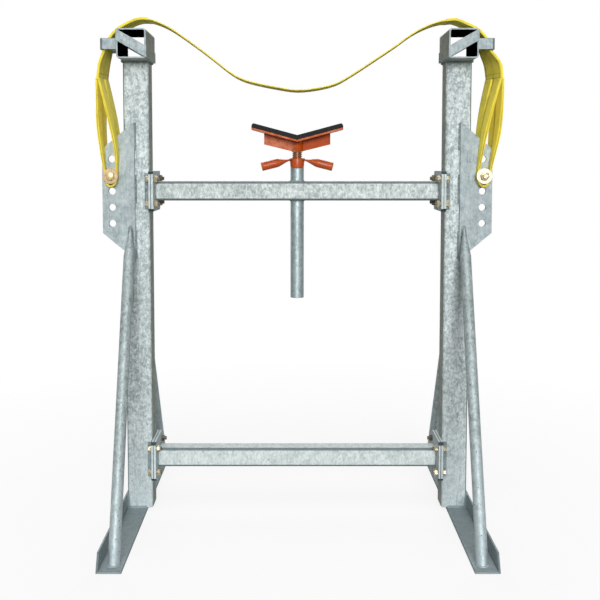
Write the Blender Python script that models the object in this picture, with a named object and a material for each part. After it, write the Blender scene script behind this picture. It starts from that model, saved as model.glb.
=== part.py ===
"""Catamaran bow stand.

Two galvanised goal posts are bolted together by two crossbars. A webbing sling hangs between the
square tube heads and carries the bow. A screw jack with a padded V head stands on the upper
crossbar under it: the wing nut turns, the screw rises, and the V head turns on the screw.

Metres, +Z up. The front faces -Y, and the origin is on the ground in the middle of the stand.
"Out" is the distance from a post's centre towards the outside of the stand.
"""

import math

import bmesh
import bpy
from mathutils import Matrix, Vector

# Gap between pieces that touch, are welded or are sewn together.
GAP = 0.0003

# Posts
POST_SPACING = 1.000
POST_SIDE = 0.080
POST_WALL = 0.004
POST_CORNER = 0.008
POST_LENGTH = 1.411

# Feet, cut from unequal angle
FOOT_LENGTH = 1.000
FOOT_BASE = 0.070
FOOT_LEG = 0.050
FOOT_THICKNESS = 0.006
FOOT_NOSE = 0.025

# Square tube heads on the posts
HEAD_SIDE = 0.090
HEAD_WALL = 0.005
HEAD_CORNER = 0.009
HEAD_LENGTH = 0.180
HEAD_REAR_OVERHANG = 0.025
STOP_BAR_WIDTH = 0.030
STOP_BAR_THICKNESS = 0.005
STOP_BAR_ANGLE = math.radians(29.5)
STOP_BAR_LOW = 0.0015
STOP_BAR_PROUD = 0.0015

# Strap keepers, bent from flat bar
KEEPER_HEIGHT = 0.034
KEEPER_THICKNESS = 0.005
KEEPER_REACH = 0.052
KEEPER_BEND = 0.008
KEEPER_SIDE_CLEARANCE = 0.005

# Bolt plates on the fronts of the posts
PLATE_THICKNESS = 0.010
PLATE_WIDTH = 0.100
PLATE_INNER_OUT = 0.005
PLATE_OUTER_LENGTH = 0.260
PLATE_SLOPE = math.radians(40)
PLATE_BELOW_HEAD = 0.402
HOLE_DIAMETER = 0.022
HOLE_PITCH = 0.050
HOLE_COUNT = 5
HOLE_EDGE = 0.030
SLING_BOLT_HOLE = 1  # holes below the uppermost

# Tube braces
BRACE_DIAMETER = 0.0337
BRACE_WALL = 0.0032
BRACE_REACH = 0.455
BRACE_TAPER = 0.095
BRACE_TIP_WIDTH = 0.005
BRACE_TIP_THICKNESS = 0.006
FRONT_BRACE_BELOW_PLATE = 0.112
FRONT_BRACE_FOOT_OUT = 0.005
FRONT_BRACE_TOP_OUT = 0.0185
REAR_BRACE_BELOW_PLATE = 0.350

# Crossbars and the flanges that bolt them to the posts
BAR_SIDE = 0.060
BAR_WALL = 0.004
BAR_CORNER = 0.007
UPPER_BAR_BELOW_HEAD = 0.402
LOWER_BAR_HEIGHT = 0.165
FLANGE_THICKNESS = 0.008
FLANGE_WIDTH = 0.150
FLANGE_HEIGHT = 0.124
FLANGE_CLIP = 0.008
FLANGE_BOLT_SPACING_Y = 0.112
FLANGE_BOLT_SPACING_Z = 0.076
BOLT_DIAMETER = 0.012
BOLT_HOLE_DIAMETER = 0.0135
BOLT_FLATS = 0.019
BOLT_HEAD = 0.0075
BOLT_NUT = 0.0100
BOLT_WASHER_DIAMETER = 0.024
BOLT_WASHER = 0.0025
BOLT_END = 0.006

# Sling bolts
SLING_BOLT_DIAMETER = 0.016
SLING_BOLT_FLATS = 0.024
SLING_BOLT_HEAD = 0.010
SLING_BOLT_NUT = 0.013
SLING_BOLT_END = 0.006
SLING_WASHER_DIAMETER = 0.048
SLING_WASHER = 0.004
FIT_CLEARANCE = 0.0004

# Sling, woven webbing with a pair of sewn eyes at each end
SLING_WIDTH = 0.090
SLING_PLY = 0.004
SLING_OVERLAP_OUT = 0.452
SLING_LOW_BELOW_HEAD_TOP = 0.183
LEFT_SLING_PEAK = 0.032
RIGHT_SLING_PEAK = 0.0295
SLING_SEAM_BELOW_HEAD = 0.060
LEFT_SEAM_OUT = 0.027
RIGHT_SEAM_OUT = 0.0335
LEFT_SLING_TWIST = 0.013
RIGHT_SLING_TWIST = 0.030
STRAP_CLEARANCE = 0.0008
EYE_SEWN_IN = 0.006
EYE_PLY = 0.006
EYE_WIDTH_AT_SEAM = 0.039
EYE_WIDTH_AT_BOLT = 0.022
EYE_CLEARANCE = 0.001
EYE_HALF_WIDTH = 0.0185
EYE_DROP = 0.0315

# Screw jack
JACK_TUBE_DIAMETER = 0.0424
JACK_TUBE_WALL = 0.003
JACK_TUBE_LENGTH = 0.410
JACK_TUBE_ABOVE_BAR = 0.0412
SCREW_DIAMETER = 0.032
SCREW_LENGTH = 0.300
SCREW_SHOWING = 0.020
SPIGOT_DIAMETER = 0.020
SPIGOT_LENGTH = 0.022
NUT_HEIGHT = 0.031
NUT_FOOT_OVER_TUBE = 0.0001
NUT_FLARE = 0.0035
THREAD_CLEARANCE = 0.0003
HANDLE_DIAMETER = 0.0269
HANDLE_WALL = 0.0026
HANDLE_LENGTH = 0.096
HANDLE_TAPER = 0.040
HANDLE_FLAT_THICKNESS = 0.007
HANDLE_FLAT_WIDTH = 0.036
HANDLE_DROOP = math.radians(14)
HANDLE_BELOW_TOP = 0.004

# Padded V head
COLLAR_DIAMETER = 0.035
COLLAR_HEIGHT = 0.030
V_ANGLE = math.radians(15)
V_WING = 0.148
V_DEPTH = 0.100
V_THICKNESS = 0.006
V_GUSSET_REACH = 0.104
V_GUSSET_HEIGHT = 0.035
V_GUSSET_THICKNESS = 0.008
PAD_THICKNESS = 0.014
PAD_CHAMFER = 0.004

# Sides of round pieces
ROUND_STEPS = 24
SMALL_STEPS = 12
CORNER_STEPS = 3

# Heights and depths that follow from the sizes above.
FOOT_TOP = FOOT_THICKNESS
POST_FOOT = FOOT_TOP + GAP
HEAD_FOOT = POST_FOOT + POST_LENGTH + GAP
HEAD_TOP = HEAD_FOOT + HEAD_SIDE
POST_HALF = POST_SIDE / 2
UPPER_BAR_HEIGHT = HEAD_FOOT - UPPER_BAR_BELOW_HEAD
PLATE_CENTRE_HEIGHT = HEAD_FOOT - PLATE_BELOW_HEAD
FRONT_BRACE_HEIGHT = PLATE_CENTRE_HEIGHT - FRONT_BRACE_BELOW_PLATE
REAR_BRACE_HEIGHT = PLATE_CENTRE_HEIGHT - REAR_BRACE_BELOW_PLATE
HEAD_REAR = POST_HALF + HEAD_REAR_OVERHANG
HEAD_FRONT = HEAD_REAR - HEAD_LENGTH
PLATE_REAR = -POST_HALF - GAP
PLATE_FRONT = PLATE_REAR - PLATE_THICKNESS
SLING_CENTRE = (PLATE_REAR + PLATE_FRONT) / 2
HOLE_OUT = PLATE_INNER_OUT + PLATE_WIDTH - HOLE_EDGE
TOP_HOLE_HEIGHT = PLATE_CENTRE_HEIGHT + HOLE_PITCH * (HOLE_COUNT - 1) / 2
SLING_BOLT_DROP = (HOLE_DIAMETER - SLING_BOLT_DIAMETER) / 2 - GAP
SLING_BOLT_HEIGHT = TOP_HOLE_HEIGHT - SLING_BOLT_HOLE * HOLE_PITCH - SLING_BOLT_DROP
KEEPER_WEB_OUT = HEAD_SIDE / 2 + KEEPER_REACH - KEEPER_THICKNESS
POST_FLANGE_FACE = POST_SPACING / 2 - POST_HALF - GAP - FLANGE_THICKNESS
BAR_END = POST_FLANGE_FACE - GAP
JACK_TUBE_TOP = UPPER_BAR_HEIGHT + BAR_SIDE / 2 + JACK_TUBE_ABOVE_BAR
NUT_FOOT = JACK_TUBE_TOP + GAP
NUT_FOOT_DIAMETER = JACK_TUBE_DIAMETER + NUT_FOOT_OVER_TUBE
NUT_TOP_DIAMETER = NUT_FOOT_DIAMETER + NUT_FLARE
NUT_TOP = NUT_FOOT + NUT_HEIGHT
SCREW_TOP = NUT_TOP + SCREW_SHOWING
COLLAR_FOOT = SCREW_TOP + GAP
V_FOOT = COLLAR_FOOT + COLLAR_HEIGHT + GAP


def clear_scene():
    for obj in list(bpy.data.objects):
        bpy.data.objects.remove(obj, do_unlink=True)


def linear(hex_colour):
    """An sRGB hex colour as Blender's linear red, green, blue and alpha."""
    parts = [int(hex_colour[i : i + 2], 16) / 255 for i in (1, 3, 5)]
    return [p / 12.92 if p <= 0.04045 else ((p + 0.055) / 1.055) ** 2.4 for p in parts] + [1.0]


def make_material(name, hex_colour, metallic, roughness):
    material = bpy.data.materials.new(name)
    material.use_nodes = True
    shader = material.node_tree.nodes["Principled BSDF"]
    shader.inputs["Base Color"].default_value = linear(hex_colour)
    shader.inputs["Metallic"].default_value = metallic
    shader.inputs["Roughness"].default_value = roughness
    material.diffuse_color = linear(hex_colour)
    return material


def add_empty(name, location=(0, 0, 0), parent=None):
    empty = bpy.data.objects.new(name, None)
    empty.location = location
    empty.parent = parent
    bpy.context.scene.collection.objects.link(empty)
    return empty


def add_object(name, bm, material, parent=None, location=(0, 0, 0), smooth=False):
    """Turns a bmesh into a named object, with its faces pointing out."""
    bmesh.ops.recalc_face_normals(bm, faces=bm.faces)
    mesh = bpy.data.meshes.new(name)
    bm.to_mesh(mesh)
    bm.free()
    if smooth:
        mesh.shade_smooth()
        mesh.set_sharp_from_angle(angle=math.radians(35))
    if material:
        mesh.materials.append(material)
    obj = bpy.data.objects.new(name, mesh)
    obj.parent = parent
    obj.location = location
    bpy.context.scene.collection.objects.link(obj)
    return obj


def boolean(obj, other, operation):
    """A live Boolean with a helper that isn't part of the stand."""
    other.hide_render = True
    other.display_type = "WIRE"
    modifier = obj.modifiers.new(operation.lower() + " " + other.name, "BOOLEAN")
    modifier.operation = operation
    modifier.object = other
    modifier.solver = "EXACT"


def in_plane(plane, u, v, along):
    """A point of a profile drawn across X, Y or Z, at its place along that axis."""
    return {"X": (along, u, v), "Y": (u, along, v), "Z": (u, v, along)}[plane]


def prism(outline, plane, start, end):
    """A closed outline pulled from start to end, square to its plane."""
    bm = bmesh.new()
    face = bm.faces.new([bm.verts.new(in_plane(plane, u, v, start)) for u, v in outline])
    made = bmesh.ops.extrude_face_region(bm, geom=[face])["geom"]
    moved = [item for item in made if isinstance(item, bmesh.types.BMVert)]
    bmesh.ops.translate(bm, verts=moved, vec=in_plane(plane, 0, 0, end - start))
    return bm


def loft(rings, closed=False):
    """Skins a list of rings of equal length. Open ends are filled, closed ones join up."""
    bm = bmesh.new()
    loops = [[bm.verts.new(point) for point in ring] for ring in rings]
    count = len(loops[0])
    following = loops[1:] + ([loops[0]] if closed else [])
    for lower, upper in zip(loops, following):
        for i in range(count):
            j = (i + 1) % count
            bm.faces.new((lower[i], lower[j], upper[j], upper[i]))
    if not closed:
        bm.faces.new(loops[0])
        bm.faces.new(reversed(loops[-1]))
    return bm


def rounded_square(side, radius):
    """The outline of a square with round corners, about its centre."""
    outline = []
    for quarter in range(4):
        turn = quarter * math.pi / 2
        for step in range(CORNER_STEPS + 1):
            angle = turn + step * math.pi / 2 / CORNER_STEPS
            centre = turn + math.pi / 4
            offset = (side / 2 - radius) * math.sqrt(2)
            u = offset * math.cos(centre) + radius * math.cos(angle)
            v = offset * math.sin(centre) + radius * math.sin(angle)
            outline.append((u, v))
    return outline


def square_tube(side, wall, corner, plane, start, end):
    """A square hollow section, open at both ends."""
    outer = rounded_square(side, corner)
    inner = rounded_square(side - 2 * wall, corner - wall)
    rings = [
        [in_plane(plane, u, v, along) for u, v in outline]
        for outline, along in ((outer, start), (outer, end), (inner, end), (inner, start))
    ]
    return loft(rings, closed=True)


def round_ring(plane, radius, along, steps, flats=False, centre=(0, 0)):
    """A circle, or with flats a hexagon whose radius is half the distance across its flats."""
    ring = []
    for step in range(steps):
        angle = 2 * math.pi * step / steps
        reach = radius
        if flats:
            from_flat = (angle + math.pi / 6) % (math.pi / 3) - math.pi / 6
            reach = radius / math.cos(from_flat)
        u = centre[0] + reach * math.cos(angle)
        v = centre[1] + reach * math.sin(angle)
        ring.append(in_plane(plane, u, v, along))
    return ring


def round_tube(diameter, bore, plane, start, end, steps):
    """A tube or a washer, open at both ends."""
    sizes = ((diameter, start), (diameter, end), (bore, end), (bore, start))
    return loft([round_ring(plane, size / 2, along, steps) for size, along in sizes], closed=True)


def pins(plane, places, diameter, start, end, steps):
    """Separate round pins side by side, for cutting a row of holes."""
    bm = bmesh.new()
    for centre in places:
        ends = [
            [bm.verts.new(p) for p in round_ring(plane, diameter / 2, along, steps, centre=centre)]
            for along in (start, end)
        ]
        for i in range(steps):
            j = (i + 1) % steps
            bm.faces.new((ends[0][i], ends[0][j], ends[1][j], ends[1][i]))
        bm.faces.new(ends[0])
        bm.faces.new(reversed(ends[1]))
    return bm


def smooth_path(points, steps):
    """A smooth curve through the points, as a list with so many steps from each to the next."""
    padded = [2 * points[0] - points[1], *points, 2 * points[-1] - points[-2]]
    path = []
    for before, start, end, after in zip(padded, padded[1:], padded[2:], padded[3:]):
        for step in range(steps):
            t = step / steps
            path.append(
                0.5
                * (
                    2 * start
                    + (end - before) * t
                    + (2 * before - 5 * start + 4 * end - after) * t**2
                    + (3 * start - before - 3 * end + after) * t**3
                )
            )
    return [*path, points[-1]]


def ribbon(path, thickness, edges):
    """A flat strap along a path of points (x, z, lean), where lean is how far further out its
    front edge is than its rear edge. thickness and edges give its thickness, and the depths of
    its front and rear edge, from the share of the way along."""
    lengths = [0.0]
    for start, end in zip(path, path[1:]):
        lengths.append(lengths[-1] + (end - start).to_2d().length)
    rings = []
    for i, point in enumerate(path):
        ahead = path[min(i + 1, len(path) - 1)] - path[max(i - 1, 0)]
        share = lengths[i] / lengths[-1]
        side = Vector((-ahead.y, ahead.x)).normalized() * thickness(share, point) / 2
        front, rear = edges(share)
        ring = []
        for sign, depth in ((1, front), (1, rear), (-1, rear), (-1, front)):
            shift = point.z / 2 if depth == front else -point.z / 2
            ring.append((point.x + sign * side.x + shift, depth, point.y + sign * side.y))
        rings.append(ring)
    return loft(rings)


def plate_outline(side):
    """The bolt plate seen from the front: a parallel strip with both ends sloped towards the post."""
    inner, outer = PLATE_INNER_OUT, PLATE_INNER_OUT + PLATE_WIDTH
    outer_half = PLATE_OUTER_LENGTH / 2
    inner_half = outer_half + math.tan(PLATE_SLOPE) * PLATE_WIDTH
    return [
        (side * inner, PLATE_CENTRE_HEIGHT - inner_half),
        (side * outer, PLATE_CENTRE_HEIGHT - outer_half),
        (side * outer, PLATE_CENTRE_HEIGHT + outer_half),
        (side * inner, PLATE_CENTRE_HEIGHT + inner_half),
    ]


def hole_heights():
    return [TOP_HOLE_HEIGHT - HOLE_PITCH * i for i in range(HOLE_COUNT)]


def make_foot(name, side, stand, steel):
    """Unequal angle, its upright leg outside the post and cut back at both noses."""
    inner_face = POST_HALF + GAP
    outer_face = inner_face + FOOT_THICKNESS
    section = [
        (side * (outer_face - FOOT_BASE), 0),
        (side * outer_face, 0),
        (side * outer_face, FOOT_LEG),
        (side * inner_face, FOOT_LEG),
        (side * inner_face, FOOT_THICKNESS),
        (side * (outer_face - FOOT_BASE), FOOT_THICKNESS),
    ]
    bm = prism(section, "Y", -FOOT_LENGTH / 2, FOOT_LENGTH / 2)
    for vert in bm.verts:
        if vert.co.z > FOOT_THICKNESS + GAP:
            vert.co.y -= math.copysign(FOOT_NOSE, vert.co.y)
    return add_object(name, bm, steel, stand)


def tilted_ring(centre, across, up, half_width, half_thickness):
    ring = []
    for step in range(ROUND_STEPS):
        angle = 2 * math.pi * step / ROUND_STEPS
        ring.append(centre + across * half_width * math.cos(angle) + up * half_thickness * math.sin(angle))
    return ring


def make_brace(name, face, foot_out, top_out, height, stand, steel):
    """A tube leaning from the foot to the post. Its upper end is pinched to a point on the face."""
    front = math.copysign(1, face)
    foot = Vector((foot_out, front * BRACE_REACH, FOOT_TOP + GAP))
    top = Vector((top_out, face, height))
    lean = (top - foot).normalized()
    top.y += front * BRACE_TIP_THICKNESS / 2 * math.sqrt(1 - lean.y**2)
    along = (top - foot).normalized()
    up = Vector((0, front, 0)) - along * along.dot(Vector((0, front, 0)))
    up.normalize()
    across = along.cross(up)
    radius = BRACE_DIAMETER / 2
    taper_start = top - along * BRACE_TAPER
    lower = [p - along * (p.z - foot.z) / along.z for p in tilted_ring(foot, across, up, radius, radius)]
    middle = tilted_ring(taper_start, across, up, radius, radius)
    tip = tilted_ring(top, across, up, BRACE_TIP_WIDTH / 2, BRACE_TIP_THICKNESS / 2)
    brace = add_object(name, loft([lower, middle, tip]), steel, stand, smooth=True)
    bore = radius - BRACE_WALL
    ends = [tilted_ring(end, across, up, bore, bore) for end in (foot - along * BRACE_DIAMETER, taper_start)]
    boolean(brace, add_object(name + "_bore", loft(ends), None, stand), "DIFFERENCE")
    return brace


def make_head(side_name, side, stand, steel):
    """The square tube across the top of a post, with a stop bar welded over each open end."""
    tube = square_tube(HEAD_SIDE, HEAD_WALL, HEAD_CORNER, "Y", HEAD_FRONT, HEAD_REAR)
    bmesh.ops.translate(tube, verts=tube.verts, vec=(0, 0, HEAD_FOOT + HEAD_SIDE / 2))
    add_object(side_name + "_head_tube", tube, steel, stand)
    rise = math.tan(STOP_BAR_ANGLE)
    height = STOP_BAR_WIDTH / math.cos(STOP_BAR_ANGLE)
    outer, inner = HEAD_SIDE / 2, -HEAD_SIDE / 2 - STOP_BAR_PROUD
    low = HEAD_FOOT + STOP_BAR_LOW
    high = low + rise * (outer - inner)
    outline = [(side * inner, low), (side * outer, high), (side * outer, high + height)]
    outline.append((side * inner, low + height))
    ends = {
        "_front_stop_bar": (HEAD_FRONT - GAP - STOP_BAR_THICKNESS, HEAD_FRONT - GAP),
        "_rear_stop_bar": (HEAD_REAR + GAP, HEAD_REAR + GAP + STOP_BAR_THICKNESS),
    }
    for ending, (start, end) in ends.items():
        add_object(side_name + ending, prism(outline, "Y", start, end), steel, stand)


def make_keeper(name, side, stand, steel):
    """Flat bar bent to a U outside the head, which keeps the sling on it."""
    half = SLING_WIDTH / 2 + KEEPER_SIDE_CLEARANCE
    root = HEAD_SIDE / 2 + GAP
    tip = HEAD_SIDE / 2 + KEEPER_REACH
    outline = []
    for grow, radius in ((KEEPER_THICKNESS, KEEPER_BEND), (0, KEEPER_BEND - KEEPER_THICKNESS)):
        edge, reach = half + grow, tip - KEEPER_THICKNESS + grow
        row = [(root, SLING_CENTRE - edge)]
        for sign, turn in ((-1, -math.pi / 2), (1, 0)):
            for step in range(CORNER_STEPS + 1):
                angle = turn + step * math.pi / 2 / CORNER_STEPS
                u = reach - radius + radius * math.cos(angle)
                v = SLING_CENTRE + sign * (edge - radius) + radius * math.sin(angle)
                row.append((u, v))
        row.append((root, SLING_CENTRE + edge))
        outline += row if grow else reversed(row)
    outline = [(side * u, v) for u, v in outline]
    middle = HEAD_FOOT + HEAD_SIDE / 2
    bm = prism(outline, "Z", middle - KEEPER_HEIGHT / 2, middle + KEEPER_HEIGHT / 2)
    return add_object(name, bm, steel, stand)


def make_bolt_plate(name, side, stand, steel):
    """The plate with the row of holes that set how high the sling hangs."""
    bm = prism(plate_outline(side), "Y", PLATE_FRONT, PLATE_REAR)
    plate = add_object(name, bm, steel, stand)
    places = [(side * HOLE_OUT, height) for height in hole_heights()]
    past = PLATE_THICKNESS
    start, end = PLATE_FRONT - past, PLATE_REAR + past
    cutter = pins("Y", places, HOLE_DIAMETER, start, end, ROUND_STEPS)
    boolean(plate, add_object(name + "_holes", cutter, None, stand), "DIFFERENCE")
    return plate


def flange_outline():
    """The flange plates seen along the crossbar, their corners clipped."""
    u, v, clip = FLANGE_WIDTH / 2, FLANGE_HEIGHT / 2, FLANGE_CLIP
    corners = [(u, v - clip), (u - clip, v), (clip - u, v), (-u, v - clip)]
    return corners + [(-a, -b) for a, b in corners]


def flange_bolt_places(height):
    half_y, half_z = FLANGE_BOLT_SPACING_Y / 2, FLANGE_BOLT_SPACING_Z / 2
    return [(y, height + z) for y in (-half_y, half_y) for z in (-half_z, half_z)]


def make_flange(name, side, height, stand, steel):
    """The plate welded to the inner face of a post, which a crossbar bolts to."""
    start = -side * (POST_HALF + GAP)
    end = start - side * FLANGE_THICKNESS
    outline = [(u, v + height) for u, v in flange_outline()]
    flange = add_object(name, prism(outline, "X", start, end), steel, stand)
    past = side * FLANGE_THICKNESS
    places = flange_bolt_places(height)
    cutter = pins("X", places, BOLT_HOLE_DIAMETER, start + past, end - past, SMALL_STEPS)
    boolean(flange, add_object(name + "_holes", cutter, None, stand), "DIFFERENCE")
    return flange


def make_stand(side_name, side, steel):
    """Everything that is welded to one post."""
    stand = add_empty(side_name + "_stand", (side * POST_SPACING / 2, 0, 0))
    post = square_tube(POST_SIDE, POST_WALL, POST_CORNER, "Z", POST_FOOT, POST_FOOT + POST_LENGTH)
    add_object(side_name + "_upright", post, steel, stand)
    make_foot(side_name + "_foot", side, stand, steel)
    make_head(side_name, side, stand, steel)
    make_keeper(side_name + "_strap_keeper", side, stand, steel)
    make_bolt_plate(side_name + "_bolt_plate", side, stand, steel)
    foot_out, top_out = side * FRONT_BRACE_FOOT_OUT, side * FRONT_BRACE_TOP_OUT
    front_face, rear_face = PLATE_FRONT - GAP, POST_HALF + GAP
    front_name, rear_name = side_name + "_front_brace", side_name + "_rear_brace"
    make_brace(front_name, front_face, foot_out, top_out, FRONT_BRACE_HEIGHT, stand, steel)
    make_brace(rear_name, rear_face, 0, 0, REAR_BRACE_HEIGHT, stand, steel)
    make_flange(side_name + "_upper_flange", side, UPPER_BAR_HEIGHT, stand, steel)
    make_flange(side_name + "_lower_flange", side, LOWER_BAR_HEIGHT, stand, steel)
    return stand


def make_crossbar(name, height, steel):
    """A square tube with a flange plate welded on each end."""
    frame = add_empty(name + "_frame", (0, 0, height))
    plate_face = BAR_END - FLANGE_THICKNESS
    tube_end = plate_face - GAP
    tube = square_tube(BAR_SIDE, BAR_WALL, BAR_CORNER, "X", -tube_end, tube_end)
    bar = add_object(name, tube, steel, frame)
    for ending, sign in (("left", -1), ("right", 1)):
        end = prism(flange_outline(), "X", sign * plate_face, sign * BAR_END)
        plate = add_object(f"{name}_{ending}_plate", end, steel, frame)
        places = flange_bolt_places(0)
        past = sign * FLANGE_THICKNESS
        start, stop = sign * plate_face - past, sign * BAR_END + past
        holes = pins("X", places, BOLT_HOLE_DIAMETER, start, stop, SMALL_STEPS)
        boolean(plate, add_object(f"{name}_{ending}_holes", holes, None, frame), "DIFFERENCE")
    return bar


def make_flange_bolts(side_name, side, level, height, zinc):
    """Four bolts with their washers and nuts through one pair of flanges, head towards the post."""
    near, far = POST_SPACING / 2 - POST_HALF, BAR_END - FLANGE_THICKNESS - GAP
    flats, washer, shank = BOLT_FLATS / 2, BOLT_WASHER_DIAMETER / 2, BOLT_DIAMETER / 2
    nut_face = far - BOLT_WASHER
    stack = [
        (near + BOLT_WASHER + BOLT_HEAD, flats, True),
        (near + BOLT_WASHER, flats, True),
        (near + BOLT_WASHER, washer, False),
        (near, washer, False),
        (near, shank, False),
        (far, shank, False),
        (far, washer, False),
        (nut_face, washer, False),
        (nut_face, flats, True),
        (nut_face - BOLT_NUT, flats, True),
        (nut_face - BOLT_NUT, shank, False),
        (nut_face - BOLT_NUT - BOLT_END, shank, False),
    ]
    rings = [
        round_ring("X", radius, side * along, SMALL_STEPS, flats=is_hex)
        for along, radius, is_hex in stack
    ]
    for number, (y, z) in enumerate(flange_bolt_places(height), start=1):
        name = f"{side_name}_{level}_flange_bolt_{number}"
        add_object(name, loft(rings), zinc, location=(0, y, z), smooth=True)


# The free span of the sling from its lowest point to its peak by the left head, and the same for
# the right: share of the way to the post, share of the rise. The points are chosen by eye.
LEFT_SPAN = (
    (0.130, 0.040),
    (0.270, 0.108),
    (0.350, 0.170),
    (0.420, 0.266),
    (0.560, 0.520),
    (0.710, 0.772),
    (0.790, 0.890),
    (0.860, 0.962),
    (0.925, 1.000),
)
RIGHT_SPAN = (
    (0.130, 0.030),
    (0.240, 0.098),
    (0.330, 0.215),
    (0.460, 0.412),
    (0.600, 0.632),
    (0.700, 0.800),
    (0.780, 0.900),
    (0.860, 0.967),
    (0.945, 1.000),
)
# How far out from the sling bolt the two legs of a front eye are, at shares of the way up.
LEFT_LEGS = ((0.74, 0.033, 0.009), (0.51, 0.0325, -0.006), (0.27, 0.026, -0.0175), (0.08, 0.0195, -0.0185))
RIGHT_LEGS = ((0.74, 0.045, 0.019), (0.44, 0.040, 0.000), (0.14, 0.0235, -0.0135), (0.07, 0.0205, -0.0170))


def seam_height():
    return HEAD_FOOT - SLING_SEAM_BELOW_HEAD


def sling_route(span, peak_rise, seam_out, twist):
    """One side of the sling's centreline, from its lowest point out to its seam."""
    centre = POST_SPACING / 2
    low = HEAD_TOP - SLING_LOW_BELOW_HEAD_TOP
    peak = HEAD_TOP + peak_rise
    seat = HEAD_CORNER + STRAP_CLEARANCE + SLING_PLY
    corner_x = centre + HEAD_SIDE / 2 - HEAD_CORNER
    corner_z = HEAD_TOP - HEAD_CORNER
    keeper_face = centre + KEEPER_WEB_OUT - STRAP_CLEARANCE - SLING_PLY
    keeper_low = HEAD_FOOT + (HEAD_SIDE - KEEPER_HEIGHT) / 2
    lean = twist / 2
    route = [Vector((share * centre, low + rise * (peak - low), 0)) for share, rise in span]
    route += [
        Vector((centre - 0.010, peak - 0.003, 0)),
        Vector((centre + 0.016, peak - 0.014, 0)),
        Vector((corner_x + seat * math.cos(0.80), corner_z + seat * math.sin(0.80), lean * 0.1)),
        Vector((corner_x + 0.033, corner_z - 0.018, lean * 0.6)),
        Vector((keeper_face - lean / 2 - GAP, keeper_low + KEEPER_HEIGHT / 4, lean)),
        Vector((keeper_face - lean / 2, keeper_low - 0.002, lean)),
        Vector((centre + HOLE_OUT + seam_out - 0.007, keeper_low - 0.040, twist)),
        Vector((centre + HOLE_OUT + seam_out, seam_height(), twist)),
    ]
    return route


def mirrored(path):
    return [Vector((-point.x, point.y, -point.z)) for point in reversed(path)]


def make_sling(webbing):
    """The band over both heads, one ply in the span and two from each overlap out to its seam."""
    left = sling_route(LEFT_SPAN, LEFT_SLING_PEAK, LEFT_SEAM_OUT, LEFT_SLING_TWIST)
    right = sling_route(RIGHT_SPAN, RIGHT_SLING_PEAK, RIGHT_SEAM_OUT, RIGHT_SLING_TWIST)
    low = [Vector((0, HEAD_TOP - SLING_LOW_BELOW_HEAD_TOP, 0))]
    path = smooth_path(mirrored(left) + low + right, 4)
    front = SLING_CENTRE - SLING_WIDTH / 2

    def thickness(_share, point):
        return SLING_PLY * (2 if abs(point.x) > SLING_OVERLAP_OUT else 1)

    def edges(_share):
        return front, front + SLING_WIDTH

    return add_object("sling", ribbon(path, thickness, edges), webbing)


def make_eye(name, side, forward, stand):
    """One sewn eye of the sling. It narrows to where it is folded round the sling bolt."""
    legs = LEFT_LEGS if side < 0 else RIGHT_LEGS
    twist = LEFT_SLING_TWIST if side < 0 else RIGHT_SLING_TWIST
    seam_out = LEFT_SEAM_OUT if side < 0 else RIGHT_SEAM_OUT
    bolt, out, half = SLING_BOLT_HEIGHT, HOLE_OUT, EYE_HALF_WIDTH
    fall = seam_height() + EYE_SEWN_IN - bolt
    part = (SLING_WIDTH - EYE_WIDTH_AT_SEAM) / 2 / SLING_WIDTH
    behind = (1 + forward) * part * twist
    own_lean = twist * EYE_WIDTH_AT_SEAM / SLING_WIDTH
    leg = EYE_PLY / 2 + GAP / 2
    seam_x = out + seam_out + part * twist - behind

    def at(up, outward):
        return Vector((out + outward - behind * up, bolt + up * fall, own_lean * up * up))

    points = [Vector((seam_x + leg, bolt + fall, own_lean))]
    points += [at(up, outer) for up, outer, _inner in legs]
    points += [
        Vector((out + half, bolt, 0)),
        Vector((out + 0.72 * half, bolt - 0.70 * EYE_DROP, 0)),
        Vector((out, bolt - EYE_DROP, 0)),
        Vector((out - 0.72 * half, bolt - 0.70 * EYE_DROP, 0)),
        Vector((out - half, bolt, 0)),
    ]
    points += [at(up, inner) for up, _outer, inner in reversed(legs)]
    points.append(Vector((seam_x - leg, bolt + fall, own_lean)))
    path = smooth_path([Vector((side * p.x, p.y, side * p.z)) for p in points], 4)
    plate_face = PLATE_FRONT if forward < 0 else PLATE_REAR
    near = plate_face + forward * EYE_CLEARANCE

    def thickness(_share, _point):
        return EYE_PLY

    def edges(share):
        nearness = min(1.0, 2.6 * share, 2.6 * (1 - share))
        narrowing = nearness * nearness * (3 - 2 * nearness)
        width = EYE_WIDTH_AT_SEAM + (EYE_WIDTH_AT_BOLT - EYE_WIDTH_AT_SEAM) * narrowing
        return min(near, near + forward * width), max(near, near + forward * width)

    return add_object(name, ribbon(path, thickness, edges), None, stand)


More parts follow.
